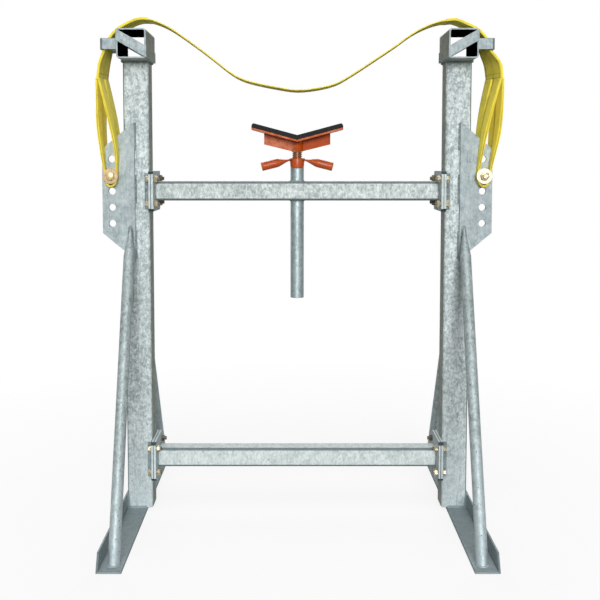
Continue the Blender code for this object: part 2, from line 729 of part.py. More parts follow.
def make_sling_bolt(side_name, side, head_forward, stand, zinc):
    """The bolt through the plate and both eyes, with a wide washer at each end and a nut."""
    reach = EYE_CLEARANCE + EYE_WIDTH_AT_BOLT + GAP
    faces = {-1: PLATE_FRONT - reach, 1: PLATE_REAR + reach}
    head_side = -1 if head_forward else 1
    nut_side = -head_side
    place = (side * HOLE_OUT, 0, SLING_BOLT_HEIGHT)
    bore = SLING_BOLT_DIAMETER + 2 * FIT_CLEARANCE
    for ending, sign in (("front", -1), ("rear", 1)):
        washer = round_tube(
            SLING_WASHER_DIAMETER, bore, "Y", faces[sign], faces[sign] + sign * SLING_WASHER, ROUND_STEPS
        )
        add_object(f"{side_name}_sling_bolt_{ending}_washer", washer, zinc, stand, place, smooth=True)
    head_face = faces[head_side] + head_side * (SLING_WASHER + GAP)
    nut_face = faces[nut_side] + nut_side * (SLING_WASHER + GAP)
    nut_end = nut_face + nut_side * SLING_BOLT_NUT
    radius, flats = SLING_BOLT_DIAMETER / 2, SLING_BOLT_FLATS / 2
    rings = [
        round_ring("Y", flats, head_face + head_side * SLING_BOLT_HEAD, SMALL_STEPS, flats=True),
        round_ring("Y", flats, head_face, SMALL_STEPS, flats=True),
        round_ring("Y", radius, head_face, SMALL_STEPS),
        round_ring("Y", radius, nut_end + nut_side * SLING_BOLT_END, SMALL_STEPS),
    ]
    add_object(side_name + "_sling_bolt", loft(rings), zinc, stand, place, smooth=True)
    rings = [
        round_ring("Y", flats, nut_face, SMALL_STEPS, flats=True),
        round_ring("Y", flats, nut_end, SMALL_STEPS, flats=True),
        round_ring("Y", bore / 2, nut_end, SMALL_STEPS),
        round_ring("Y", bore / 2, nut_face, SMALL_STEPS),
    ]
    nut = loft(rings, closed=True)
    add_object(side_name + "_sling_bolt_nut", nut, zinc, stand, place, smooth=True)


def make_jack_tube(steel, upper_bar):
    """The plain tube that stands through the upper crossbar, and the hole that it takes there."""
    bore = JACK_TUBE_DIAMETER - 2 * JACK_TUBE_WALL
    start, end = JACK_TUBE_TOP - JACK_TUBE_LENGTH, JACK_TUBE_TOP
    tube = round_tube(JACK_TUBE_DIAMETER, bore, "Z", start, end, ROUND_STEPS)
    add_object("jack_tube", tube, steel, smooth=True)
    past = BAR_SIDE
    hole = JACK_TUBE_DIAMETER + 2 * GAP
    cutter = pins("Z", [(0, 0)], hole, -past, past, ROUND_STEPS)
    cutter_object = add_object("jack_tube_hole", cutter, None, upper_bar.parent)
    boolean(upper_bar, cutter_object, "DIFFERENCE")


def make_wing_nut(axis, paint):
    """The nut that carries the screw, with a flattened tube handle on each side."""
    bore = SCREW_DIAMETER / 2 + THREAD_CLEARANCE
    rings = [
        round_ring("Z", NUT_FOOT_DIAMETER / 2, 0, ROUND_STEPS),
        round_ring("Z", NUT_TOP_DIAMETER / 2, NUT_HEIGHT, ROUND_STEPS),
        round_ring("Z", bore, NUT_HEIGHT, ROUND_STEPS),
        round_ring("Z", bore, 0, ROUND_STEPS),
    ]
    nut = add_object("wing_nut", loft(rings, closed=True), paint, axis, smooth=True)
    wall = (NUT_FOOT_DIAMETER / 2 + bore) / 2
    full = HANDLE_DIAMETER / 2
    for ending, sign in (("left", -1), ("right", 1)):
        stations = [
            (0, HANDLE_FLAT_THICKNESS / 2, HANDLE_FLAT_WIDTH / 2),
            (HANDLE_TAPER * 0.35, HANDLE_FLAT_THICKNESS / 2 + 0.001, HANDLE_FLAT_WIDTH / 2),
            (HANDLE_TAPER, full * 0.90, full * 1.08),
            (HANDLE_TAPER * 1.25, full, full),
            (HANDLE_LENGTH, full, full),
        ]
        tilt = Matrix.Rotation(HANDLE_DROOP, 3, "Y")
        rings = []
        for along, half_height, half_width in stations:
            ring = []
            for step in range(SMALL_STEPS + 4):
                angle = 2 * math.pi * step / (SMALL_STEPS + 4)
                height = half_height * math.sin(angle)
                point = tilt @ Vector((along, half_width * math.cos(angle), height))
                ring.append((sign * (wall + point.x), point.y, NUT_HEIGHT - HANDLE_BELOW_TOP + point.z))
            rings.append(ring)
        handle = add_object(f"wing_nut_{ending}_handle", loft(rings), None, axis)
        boolean(nut, handle, "UNION")
        bore_start, bore_end = HANDLE_TAPER * 1.25, HANDLE_LENGTH + HANDLE_TAPER
        rings = []
        for along in (bore_start, bore_end):
            ring = []
            for step in range(SMALL_STEPS):
                angle = 2 * math.pi * step / SMALL_STEPS
                reach = full - HANDLE_WALL
                point = tilt @ Vector((along, reach * math.cos(angle), reach * math.sin(angle)))
                ring.append((sign * (wall + point.x), point.y, NUT_HEIGHT - HANDLE_BELOW_TOP + point.z))
            rings.append(ring)
        bore_cutter = add_object(f"wing_nut_{ending}_bore", loft(rings), None, axis)
        boolean(nut, bore_cutter, "DIFFERENCE")
    return nut


def make_jack_screw(axis, steel):
    """The screw, a plain bar at the thread's outer size, with the spigot that the V head turns on."""
    radius, spigot = SCREW_DIAMETER / 2, SPIGOT_DIAMETER / 2
    rings = [
        round_ring("Z", radius, -SCREW_LENGTH, ROUND_STEPS),
        round_ring("Z", radius, 0, ROUND_STEPS),
        round_ring("Z", spigot, 0, ROUND_STEPS),
        round_ring("Z", spigot, SPIGOT_LENGTH, ROUND_STEPS),
    ]
    return add_object("jack_screw", loft(rings), steel, axis, smooth=True)


def v_outline(lower, thickness, chamfer=0.0):
    """A V of even thickness seen from the front, its lowest point at (0, lower)."""
    cos, sin = math.cos(V_ANGLE), math.sin(V_ANGLE)
    end = (V_WING * cos, lower + V_WING * sin)
    top_end = (end[0] - thickness * sin, end[1] + thickness * cos)
    right = [end, top_end]
    if chamfer:
        low_cut = (end[0] - (thickness - chamfer) * sin, end[1] + (thickness - chamfer) * cos)
        high_cut = (top_end[0] - chamfer * cos, top_end[1] - chamfer * sin)
        right = [end, low_cut, high_cut]
    middle = [(0, lower + thickness / cos)]
    left = [(-x, z) for x, z in reversed(right)]
    return [(0, lower), *right, *middle, *left]


def make_v_head(axis, paint, rubber):
    """The collar with its two gussets, the bent plate on them, and the pad on that."""
    collar_top = COLLAR_HEIGHT
    bore = SPIGOT_DIAMETER + 2 * THREAD_CLEARANCE
    depth = SPIGOT_LENGTH + GAP
    rings = [
        round_ring("Z", bore / 2, depth, ROUND_STEPS),
        round_ring("Z", bore / 2, 0, ROUND_STEPS),
        round_ring("Z", COLLAR_DIAMETER / 2, 0, ROUND_STEPS),
        round_ring("Z", COLLAR_DIAMETER / 2, collar_top, ROUND_STEPS),
    ]
    support = add_object("v_support", loft(rings), paint, axis, smooth=True)
    lower = V_FOOT - COLLAR_FOOT
    slope = math.tan(V_ANGLE)
    top = lower - GAP / math.cos(V_ANGLE)
    root = COLLAR_DIAMETER / 2 - COLLAR_DIAMETER / 8
    for ending, sign in (("left", -1), ("right", 1)):
        outline = [
            (sign * root, top + root * slope),
            (sign * V_GUSSET_REACH, top + V_GUSSET_REACH * slope),
            (sign * V_GUSSET_REACH, top + V_GUSSET_REACH * slope - V_GUSSET_HEIGHT),
            (sign * root, max(GAP, top + root * slope - V_GUSSET_HEIGHT)),
        ]
        gusset = prism(outline, "Y", -V_GUSSET_THICKNESS / 2, V_GUSSET_THICKNESS / 2)
        boolean(support, add_object(f"v_{ending}_gusset", gusset, None, axis), "UNION")
    plate = prism(v_outline(lower, V_THICKNESS), "Y", -V_DEPTH / 2, V_DEPTH / 2)
    add_object("v_plate", plate, paint, axis)
    pad_lower = lower + (V_THICKNESS + GAP) / math.cos(V_ANGLE)
    pad = prism(v_outline(pad_lower, PAD_THICKNESS, PAD_CHAMFER), "Y", -V_DEPTH / 2, V_DEPTH / 2)
    add_object("rubber_pad", pad, rubber, axis)


def main():
    clear_scene()
    steel = make_material("galvanised_steel", "#AEB7B4", 0.75, 0.45)
    webbing = make_material("yellow_webbing", "#D9C437", 0.0, 0.85)
    paint = make_material("orange_paint", "#B8532C", 0.0, 0.45)
    rubber = make_material("black_rubber", "#232626", 0.0, 0.8)
    zinc = make_material("yellow_zinc", "#CDAE74", 0.9, 0.35)

    upper_bar = make_crossbar("upper_crossbar", UPPER_BAR_HEIGHT, steel)
    make_crossbar("lower_crossbar", LOWER_BAR_HEIGHT, steel)
    make_jack_tube(steel, upper_bar)
    sling = make_sling(webbing)
    for side_name, side in (("left", -1), ("right", 1)):
        stand = make_stand(side_name, side, steel)
        make_flange_bolts(side_name, side, "upper", UPPER_BAR_HEIGHT, zinc)
        make_flange_bolts(side_name, side, "lower", LOWER_BAR_HEIGHT, zinc)
        make_sling_bolt(side_name, side, side < 0, stand, zinc)
        for ending, forward in (("front", -1), ("rear", 1)):
            eye = make_eye(f"{side_name}_sling_{ending}_eye", side, forward, stand)
            boolean(sling, eye, "UNION")

    nut_axis = add_empty("wing_nut_axis", (0, 0, NUT_FOOT))
    make_wing_nut(nut_axis, paint)
    lift_axis = add_empty("jack_lift_axis", (0, 0, SCREW_TOP))
    make_jack_screw(lift_axis, paint)
    swivel_axis = add_empty("head_swivel_axis", (0, 0, COLLAR_FOOT - SCREW_TOP), lift_axis)
    make_v_head(swivel_axis, paint, rubber)


main()
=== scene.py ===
# %% [markdown]
# # A catamaran bow stand
#
# This lesson dresses the CAD model of a steel stand that holds one bow of a boat. Two galvanised
# uprights carry a yellow lifting sling, and a screw jack with a padded V sits between them. The CAD
# gives the sizes and the joints. Here each piece gets rounded edges, its welds, its threads, its
# stitches and a finish, and the picture is taken from the place where the photograph was.

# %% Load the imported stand
import math

import bmesh
import bpy
from mathutils import Matrix, Vector


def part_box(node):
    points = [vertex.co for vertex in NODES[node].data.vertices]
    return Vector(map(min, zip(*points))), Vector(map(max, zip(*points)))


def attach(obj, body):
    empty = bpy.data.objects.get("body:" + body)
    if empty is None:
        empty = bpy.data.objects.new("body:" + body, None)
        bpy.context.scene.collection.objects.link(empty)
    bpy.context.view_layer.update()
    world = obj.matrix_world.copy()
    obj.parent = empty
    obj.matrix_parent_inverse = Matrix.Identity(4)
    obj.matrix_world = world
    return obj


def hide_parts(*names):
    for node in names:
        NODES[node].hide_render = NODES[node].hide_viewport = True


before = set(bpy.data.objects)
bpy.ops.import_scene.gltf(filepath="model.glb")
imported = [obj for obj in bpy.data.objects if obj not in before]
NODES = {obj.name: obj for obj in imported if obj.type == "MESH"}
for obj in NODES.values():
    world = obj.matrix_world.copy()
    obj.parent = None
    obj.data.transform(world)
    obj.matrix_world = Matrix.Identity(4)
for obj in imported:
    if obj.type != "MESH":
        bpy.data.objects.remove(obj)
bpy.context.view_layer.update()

# %% [markdown]
# ## The camera
#
# The photograph shows the front almost square on, from chest height and close by, so the inner sides
# of both uprights show. The camera's place and focal length were fitted to the posts, the bars and
# the feet. The shift puts the point straight ahead of the camera where the photograph has it.

# %% Camera at the photograph's place
CAMERA_PLACE = (-0.017, -2.898, 1.1116)
CAMERA_DIP = 0.0697
FOCAL_PX = 917.2
PHOTO_PX = 600
AHEAD_PX = (291.8, 224.3)
SENSOR_MM = 36


def place_object(name, data):
    """A new object in the scene."""
    obj = bpy.data.objects.new(name, data)
    bpy.context.scene.collection.objects.link(obj)
    return obj


camera_data = bpy.data.cameras.new("Photo camera")
camera = place_object("Photo camera", camera_data)
camera.location = CAMERA_PLACE
camera.rotation_euler = (math.pi / 2 - CAMERA_DIP, 0, 0)
camera_data.sensor_width = SENSOR_MM
camera_data.lens = SENSOR_MM * FOCAL_PX / PHOTO_PX
camera_data.shift_x = (PHOTO_PX / 2 - AHEAD_PX[0]) / PHOTO_PX
camera_data.shift_y = (AHEAD_PX[1] - PHOTO_PX / 2) / PHOTO_PX
bpy.context.scene.camera = camera
bpy.context.scene.view_settings.view_transform = "Standard"
print("lens", round(camera_data.lens, 1), "mm")

# %% [markdown]
# ## Small helpers for every node tree
#
# Colours are chosen as sRGB hex values, as a colour picker shows them, but nodes want linear light,
# so one function converts them. Another adds a node with its settings and fills its inputs. The small
# ones after it call that one for the four kinds of node that come up again and again, and the last
# two start a material and fill its shader.

# %% Colour and node helpers
def linear(hex_colour):
    """The linear colour of an sRGB hex value such as #B8532C."""
    shares = [int(hex_colour[i : i + 2], 16) / 255 for i in (1, 3, 5)]
    return (*[c / 12.92 if c <= 0.04045 else ((c + 0.055) / 1.055) ** 2.4 for c in shares], 1)


def fill(node, inputs):
    """Fills a node's inputs with values, or links them to a socket or to a node's first output."""
    for key, value in inputs.items():
        if isinstance(value, bpy.types.Node):
            value = value.outputs[0]
        if isinstance(value, bpy.types.NodeSocket):
            node.id_data.links.new(value, node.inputs[key])
        else:
            node.inputs[key].default_value = value


def add(tree, kind, inputs=(), **settings):
    """Adds a node to a tree, with its settings and its inputs."""
    node = tree.nodes.new(kind)
    for name, value in settings.items():
        setattr(node, name, value)
    fill(node, dict(inputs))
    return node


def maths(tree, operation, *values, **settings):
    """One step of arithmetic."""
    return add(tree, "ShaderNodeMath", enumerate(values), operation=operation, **settings)


def spread(tree, value, *ends):
    """Carries a value from the range of the first two ends to that of the last two."""
    return add(tree, "ShaderNodeMapRange", enumerate((value, *ends)))


def blend(tree, share, first, second, **settings):
    """The socket of a colour between two colours, which are hex values or sockets."""
    first, second = (linear(colour) if isinstance(colour, str) else colour for colour in (first, second))
    facts = {0: share, 6: first, 7: second}
    return add(tree, "ShaderNodeMix", facts, data_type="RGBA", **settings).outputs[2]


def noise(tree, place, scale, detail, roughness=0.5, **settings):
    """Soft noise. Its scale is one over the size of its features in metres."""
    facts = {"Vector": place, "Scale": scale, "Detail": detail, "Roughness": roughness}
    return add(tree, "ShaderNodeTexNoise", facts, **settings)


def coordinate(tree, place, axis):
    """One coordinate of a place: 0 for X, 1 for Y, 2 for Z."""
    return add(tree, "ShaderNodeSeparateXYZ", {0: place}).outputs[axis]


def new_material(name):
    """A material, its tree, its shader and the socket of the object's coordinates."""
    material = bpy.data.materials.new(name)
    material.use_nodes = True
    tree = material.node_tree
    return material, tree, tree.nodes["Principled BSDF"], add(tree, "ShaderNodeTexCoord").outputs["Object"]


def surface(shader, colour, gloss, relief, metallic=0.0, shine=0.5):
    """Fills a shader. Relief is the strength of its bump, its depth in metres and its height socket."""
    bump = add(shader.id_data, "ShaderNodeBump", zip(("Strength", "Distance", "Height"), relief))
    facts = {"Base Color": colour, "Roughness": gloss, "Normal": bump, "Metallic": metallic}
    fill(shader, {**facts, "Specular IOR Level": shine})


print("orange enamel in linear light", [round(c, 3) for c in linear("#B8532C")])

# %% [markdown]
# ## Light, sky and floor
#
# The stand was photographed in soft daylight from the front and then cut out on white. A low wide
# sun gives that, with a weaker one overhead, one behind and a grey sky that fills the shadows. The
# camera and the zinc see a white sky instead, so the background is white without more light on the
# stand. The floor keeps the shadow and fades to plain white away from the stand.

# %% Sun and sky
SKY_GREY = 0.19
# Each sun: its power, then in degrees its height, its way from the left and its width, and then -1
# in front of the stand or 1 behind it.
SUNS = {
    "Front daylight": (2.55, 13, -3, 22, -1),
    "Open sky overhead": (0.85, 66, 10, 45, -1),
    "Back fill": (1.0, 35, 0, 40, 1),
}
for name, (power, height, from_left, width, behind) in SUNS.items():
    data = bpy.data.lights.new(name, "SUN")
    data.energy = power
    data.angle = math.radians(width)
    height, from_left = math.radians(height), math.radians(from_left)
    flat = math.cos(height)
    towards = Vector((-math.sin(from_left) * flat, behind * math.cos(from_left) * flat, math.sin(height)))
    place_object(name, data).rotation_euler = towards.to_track_quat("Z", "Y").to_euler()

world = bpy.data.worlds.new("White studio")
bpy.context.scene.world = world
world.use_nodes = True
sky = world.node_tree
sky.nodes.clear()
ray = add(sky, "ShaderNodeLightPath")
seen = maths(sky, "MAXIMUM", ray.outputs["Is Camera Ray"], ray.outputs["Is Glossy Ray"])
seen = maths(sky, "MAXIMUM", seen, ray.outputs["Is Transmission Ray"])
grey = add(sky, "ShaderNodeBackground", {"Color": (SKY_GREY, SKY_GREY, SKY_GREY, 1), "Strength": 1.0})
white = add(sky, "ShaderNodeBackground", {"Color": (1, 1, 1, 1), "Strength": 1.0})
both = add(sky, "ShaderNodeMixShader", {0: seen, 1: grey, 2: white})
add(sky, "ShaderNodeOutputWorld", {"Surface": both})
print(len(SUNS), "suns, sky", SKY_GREY)

# %% Floor
FLOOR_RADIUS = 9.0
FLOOR_DROP = 0.0005
FADE_START, FADE_END = 0.8, 2.2
FLOOR_WHITE = 0.84
# The light that the floor throws back at the stand is that of grey concrete, not of white paper.
FLOOR_BOUNCE = "#6C6A64"

paper, tree, shader, place = new_material("Matt white studio paper")
tree.nodes.remove(shader)
away = add(tree, "ShaderNodeVectorMath", {0: place}, operation="LENGTH").outputs["Value"]
share = spread(tree, away, FADE_START, FADE_END, FLOOR_WHITE, 1.0)
ray = add(tree, "ShaderNodeLightPath")
seen = maths(tree, "MAXIMUM", ray.outputs["Is Camera Ray"], ray.outputs["Is Glossy Ray"])
share = maths(tree, "MULTIPLY", share, seen)
fibre = noise(tree, place, 60.0, 2.0)
tint = blend(tree, fibre, "#F2F1F1", "#F8F7F7")
tint = blend(tree, seen, FLOOR_BOUNCE, tint)
matt = add(tree, "ShaderNodeBsdfDiffuse", {"Color": tint})
glow = add(tree, "ShaderNodeEmission", {"Color": (1, 1, 1, 1), "Strength": 1.0})
both = add(tree, "ShaderNodeMixShader", {0: share, 1: matt, 2: glow})
fill(tree.nodes["Material Output"], {"Surface": both})


def circle(radius, along, steps):
    """A ring of points round Z at one height."""
    angles = [math.tau * i / steps for i in range(steps)]
    return [(radius * math.cos(angle), radius * math.sin(angle), along) for angle in angles]


floor_mesh = bpy.data.meshes.new("Studio floor")
floor_mesh.from_pydata(circle(FLOOR_RADIUS, -FLOOR_DROP, 96), [], [range(96)])
floor = place_object("Studio floor", floor_mesh)
floor_mesh.materials.append(paper)
print("floor radius", FLOOR_RADIUS, "m")

# %% [markdown]
# ## Hot-dip galvanised steel
#
# The frame was welded, then dipped whole in molten zinc. Zinc freezes in crystal flowers, the
# spangle, and weathers to a dull mottled grey, with faint runs where it drained. Clouds of noise
# give the mottle, Voronoi cells the spangle, a stretched noise the runs and small dots the dross
# pimples. The metal is so dull that most of its light is diffuse, so Metallic stays low.

# %% Galvanised finishes
SPANGLE = 0.011
GRAIN = 0.0052
PATCH = 0.013
CLOUD = 0.065
RUN_WIDTH, RUN_LENGTH = 0.011, 0.16
DROSS_SPACING = 0.017
# The frame drained towards its feet, so up to this height its zinc is thicker, smoother and paler.
THICK_ZINC = 0.38


def galvanised(
    name, bright, dull, runs=0.35, metallic=0.06, mottle=1.0, stretch=1.5, fine=1.0, gloss=0.0, shine=0.10
):
    """Weathered hot-dip zinc between two colours.

    runs, mottle and fine are the strengths of the drain runs, of the whole pattern and of its grain,
    stretch is how far the pattern is drawn out along Z, and gloss is how much smoother it is.
    """
    material, tree, shader, place = new_material(name)
    clouds = noise(tree, place, 1 / CLOUD, 3.0, 0.62)
    drawn = add(tree, "ShaderNodeMapping", {0: place, 3: (1, 1, 1 / stretch)})
    patch = noise(tree, drawn, 1 / PATCH, 2.0, 0.6)
    grain = noise(tree, drawn, 1 / GRAIN, 2.0, 0.8)
    flowers = add(tree, "ShaderNodeTexVoronoi", {"Vector": place, "Scale": 1 / SPANGLE, "Randomness": 1.0})
    flower = add(tree, "ShaderNodeSeparateColor", {0: flowers.outputs["Color"]})
    drained = add(tree, "ShaderNodeMapping", {0: place, 3: (1 / RUN_WIDTH, 1 / RUN_WIDTH, 1 / RUN_LENGTH)})
    run = noise(tree, drained, 1.0, 1.0)
    dots = add(tree, "ShaderNodeTexVoronoi", {"Vector": place, "Scale": 1 / DROSS_SPACING, "Randomness": 1.0})
    speck = spread(tree, dots.outputs["Distance"], 0.07, 0.15, 0.75, 0.0)
    # The rim of a run froze last and shows as a thin dark line.
    rim = maths(tree, "ABSOLUTE", maths(tree, "SUBTRACT", run, 0.52))
    rim = spread(tree, rim, 0.004, 0.022, 0.9 * runs, 0.0)
    middle = 0.5 * runs
    tone = maths(tree, "MULTIPLY", run, runs)
    for pattern, weight in ((clouds, 0.7), (patch, 0.9), (grain, 1.6 * fine), (flower, 0.35 * fine)):
        weight *= mottle
        tone = maths(tree, "MULTIPLY_ADD", pattern, weight, tone)
        middle += 0.5 * weight
    tone = spread(tree, tone, middle - 0.44, middle + 0.44, 0.0, 1.0)
    thick = spread(tree, coordinate(tree, place, 2), 0.0, THICK_ZINC, 0.62, 0.0)
    tone = add(tree, "ShaderNodeMix", {0: thick, 2: tone, 3: 1.05})
    tone = maths(tree, "SUBTRACT", tone, rim)
    tone = maths(tree, "SUBTRACT", tone, speck, use_clamp=True)
    colour = blend(tree, tone, dull, bright)
    colour = blend(tree, thick, colour, "#EEF4F9", blend_type="MULTIPLY")
    gloss = spread(tree, flower.outputs[1], 0.0, 1.0, 0.50 - gloss, 0.68 - 2 * gloss)
    height = maths(tree, "MULTIPLY_ADD", clouds, 2.0, grain)
    surface(shader, colour, gloss, (0.35, 0.0006, height), metallic, shine)
    return material


# Drawn square tube, dipped upright: mottled, with runs down its length.
post_zinc = galvanised("Hot-dip galvanised square tube", "#DDE7E7", "#95A2A3", runs=0.40, fine=1.25)
# Square tube that lay level in the bath: the same zinc with few runs down it.
bar_zinc = galvanised("Hot-dip galvanised crossbar", "#DEE6E4", "#94A09F", runs=0.15, stretch=2.0)
# Sawn and punched flat steel: a smoother, bluer coat.
plate_zinc = galvanised("Hot-dip galvanised flat steel", "#C3CECF", "#87959A", runs=0.30, fine=0.45)
# Edges of the flange plates, brushed bright when they were drilled and bolted up.
flange_zinc = galvanised("Hot-dip galvanised flange plate", "#D8E2E2", "#A7B4B6", runs=0.0, mottle=0.7)
# Faces turned to the middle of the stand are painted darker and yellower, as painted shade.
painted_shade_zinc = galvanised("Zinc painted darker as shade on a face turned to the middle", "#AEB5AA", "#757F77", runs=0.20)
# The feet lie in grit and damp, so they are duller.
foot_zinc = galvanised("Hot-dip galvanised angle iron", "#A4AFB0", "#687375", runs=0.0, mottle=0.9)
# Rounded edges and outer corners are painted dark, as the shade where a corner turns away from the light.
painted_shade_corner_zinc = galvanised("Zinc painted dark as shade along a corner", "#7C8789", "#5E696B", runs=0.0, mottle=0.6)
# The joint between two flange plates and the plates' edges are painted dark, as painted shade in the gap.
painted_shade_joint_zinc = galvanised("Zinc painted dark as shade along a bolted joint", "#4A5355", "#343C3E", runs=0.0, mottle=0.6)
# Round tube of the braces: thin zinc, dark where the scale below it took little.
brace_zinc = galvanised(
    "Hot-dip galvanised brace tube", "#B8C3C5", "#6C7775", runs=0.30, metallic=0.55, mottle=0.6
)
# Jack tube: bright zinc, a little shinier.
tube_zinc = galvanised(
    "Hot-dip galvanised round tube", "#A1ADAE", "#758285", runs=0.30, metallic=0.92, mottle=0.8, gloss=0.07
)
# Zinc over a weld bead: thicker and paler than on the steel beside it.
weld_zinc = galvanised("Zinc over a weld bead", "#A9B4B5", "#6A7678", runs=0.0, mottle=0.9)
# The bore of a tube is painted nearly black, as the shade inside it.
painted_shade_bore_zinc = galvanised(
    "Zinc painted dark as shade inside a tube", "#1E2123", "#0E1011", runs=0.0, metallic=0.0, mottle=0.7, shine=0.0
)
print("galvanised finishes with spangle of", SPANGLE * 1000, "mm")

# %% [markdown]
# ## Dressing a CAD piece
#
# A CAD piece has knife-sharp edges, but sawn and dipped steel has edges rounded by a millimetre of
# zinc, and these catch a line of light. A CAD mesh is loose triangles, so a copy of it is merged
# first, then its flat faces are joined again, its sharp edges are bevelled and its shading made even.

# %% Helper that dresses a CAD piece
SHARP = math.radians(32)
MERGE = 2e-5
# A face whose normal has no part as large as this lies on a rounded corner of a tube.
ROUNDED = 0.985


def to_object(name, bm, materials, body, replaced=(), smooth=True):
    """Makes a finished mesh object that rides a body and stands for the CAD nodes it replaces."""
    mesh = bpy.data.meshes.new(name)
    for face in bm.faces:
        face.smooth = smooth
    bm.to_mesh(mesh)
    bm.free()
    mesh.set_sharp_from_angle(angle=SHARP)
    obj = place_object(name, mesh)
    for material in materials:
        mesh.materials.append(material)
    if replaced:
        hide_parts(*replaced)
    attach(obj, body)
    return obj


def dress(node, piece, material, body="frame", slot="galvanised_steel", edge=0.0012, corner=None, areas=()):
    """A copy of a CAD node with rounded edges, shown in its place.

    corner is the finish of the rounded edges and corners. Each of areas is a test that picks faces,
    and the finish that they get.
    """
    bm = bmesh.new()
    bm.from_mesh(NODES[node].data)
    bmesh.ops.remove_doubles(bm, verts=bm.verts, dist=MERGE)
    bmesh.ops.dissolve_limit(bm, angle_limit=math.radians(0.6), verts=bm.verts, edges=bm.edges)
    sharp = [e for e in bm.edges if e.is_manifold and e.calc_face_angle(0) > SHARP and e.calc_length() > edge]
    bmesh.ops.bevel(
        bm,
        geom=sharp,
        offset=edge,
        segments=3,
        profile=0.6,
        affect="EDGES",
        clamp_overlap=True,
        material=1 if corner else -1,
    )
    bmesh.ops.remove_doubles(bm, verts=bm.verts, dist=MERGE)
    materials = [material]
    if corner:
        materials.append(corner)
        bm.normal_update()
        for face in bm.faces:
            if max(abs(part) for part in face.normal) < ROUNDED:
                face.material_index = 1
    for picks, finish in areas:
        materials.append(finish)
        for face in bm.faces:
            if picks(face.calc_center_median(), face.normal):
                face.material_index = len(materials) - 1
    obj = to_object(piece, bm, materials, body, (node,))
    even = obj.modifiers.new("Even shading", "WEIGHTED_NORMAL")
    even.keep_sharp = True


print("edges sharper than", round(math.degrees(SHARP)), "degrees get rounded")

# %% [markdown]
# ## Uprights, feet and bars
#
# Each upright is a square tube on a foot of angle iron, with a short piece of the same tube laid
# across its top as the head. Two crossbars of smaller square tube are bolted between them. All of it
# is sawn stock, so the CAD shape is right and only its edges and finish are missing.

# %% Dress the frame
# A normal's part along X or Y tells a rounded corner from a flat face, and a bore from an end.
CORNER_TURN = 0.6
END_TURN = 0.7
HEAD_WALL = 0.0035
JACK_BORE = 0.0195
# How the flange and end plates are brushed bright, with painted shade at their edges.
brushed = {"material": flange_zinc, "edge": 0.0018, "corner": painted_shade_joint_zinc}


def turned_to_middle(point, normal):
    """A face of a post or head that is turned to the middle of the stand, where shade is painted."""
    return point.x * normal.x < 0 and abs(normal.x) > ROUNDED


def outer_corner(point, normal):
    """The part of a post's rounded corner that is turned away from the stand."""
    return point.x * normal.x > 0 and CORNER_TURN < abs(normal.x) < ROUNDED


def in_head(point, normal):
    """The bore of either head tube, which runs along Y."""
    off = max(abs(abs(point.x) - head_middle.x), abs(point.z - head_middle.z))
    return off < head_clear and abs(normal.y) < END_TURN


def in_jack_tube(point, normal):
    """The bore of the jack tube, which runs along Z."""
    return math.hypot(point.x, point.y) < JACK_BORE and abs(normal.z) < END_TURN


# The bores of the head tubes and of the jack tube are painted dark as shade.
low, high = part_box("right_head_tube")
head_middle = (low + high) / 2
head_clear = (high.x - low.x) / 2 - HEAD_WALL
# Faces of the heads and posts turned to the middle get painted shade.
head_areas = ((turned_to_middle, painted_shade_zinc), (in_head, painted_shade_bore_zinc))
# The outer corners of the posts get a painted dark line of shade.
post_areas = ((turned_to_middle, painted_shade_zinc), (outer_corner, painted_shade_corner_zinc))
for side in ("left", "right"):
    dress(f"{side}_head_tube", f"{side}_head_square_tube", plate_zinc, areas=head_areas)
    dress(f"{side}_upright", f"{side}_post_square_tube", post_zinc, edge=0.0015, areas=post_areas)
    dress(f"{side}_foot", f"{side}_foot_angle_iron", foot_zinc, edge=0.0014, corner=painted_shade_corner_zinc)
    dress(f"{side}_bolt_plate", f"{side}_drilled_plate", plate_zinc, edge=0.0018, corner=painted_shade_corner_zinc)
    dress(f"{side}_strap_keeper", f"{side}_keeper_flat_bar", plate_zinc, corner=painted_shade_corner_zinc)
    for name in ("front_stop_bar", "rear_stop_bar"):
        dress(f"{side}_{name}", f"{side}_{name}_flat", plate_zinc, edge=0.0010)
    for name in ("upper_flange", "lower_flange"):
        dress(f"{side}_{name}", f"{side}_{name}_plate", **brushed)
    for name in ("front_brace", "rear_brace"):
        dress(f"{side}_{name}", f"{side}_{name}_tube", brace_zinc, edge=0.0008)
for level in ("upper", "lower"):
    dress(f"{level}_crossbar", f"{level}_bar_square_tube", bar_zinc, corner=painted_shade_corner_zinc)
    for side in ("left", "right"):
        dress(f"{level}_crossbar_{side}_plate", f"{level}_bar_{side}_end_plate", **brushed)
dress("jack_tube", "jack_sleeve_tube", tube_zinc, edge=0.0007, areas=((in_jack_tube, painted_shade_bore_zinc),))

# %% [markdown]
# ## Polyester webbing
#
# The sling is a round-woven lifting strap of yellow polyester, 90 mm wide. Its warp shows as ribs
# along the strap and its weft as fine steps across. Both come from waves on the strap's own UV map,
# which is laid out in metres, so they follow every bend. The ribs are drawn at 4.5 mm, coarser than
# real yarn, so that they still show in the picture. Grime gathers in clouds.

# %% Webbing and thread finishes
RIB_PITCH = 0.0045
WEFT_PITCH = 0.0026
WAVE_LENGTH = math.pi / 10
GRIME_SIZE = 0.030
EDGE_LINE = 0.0385

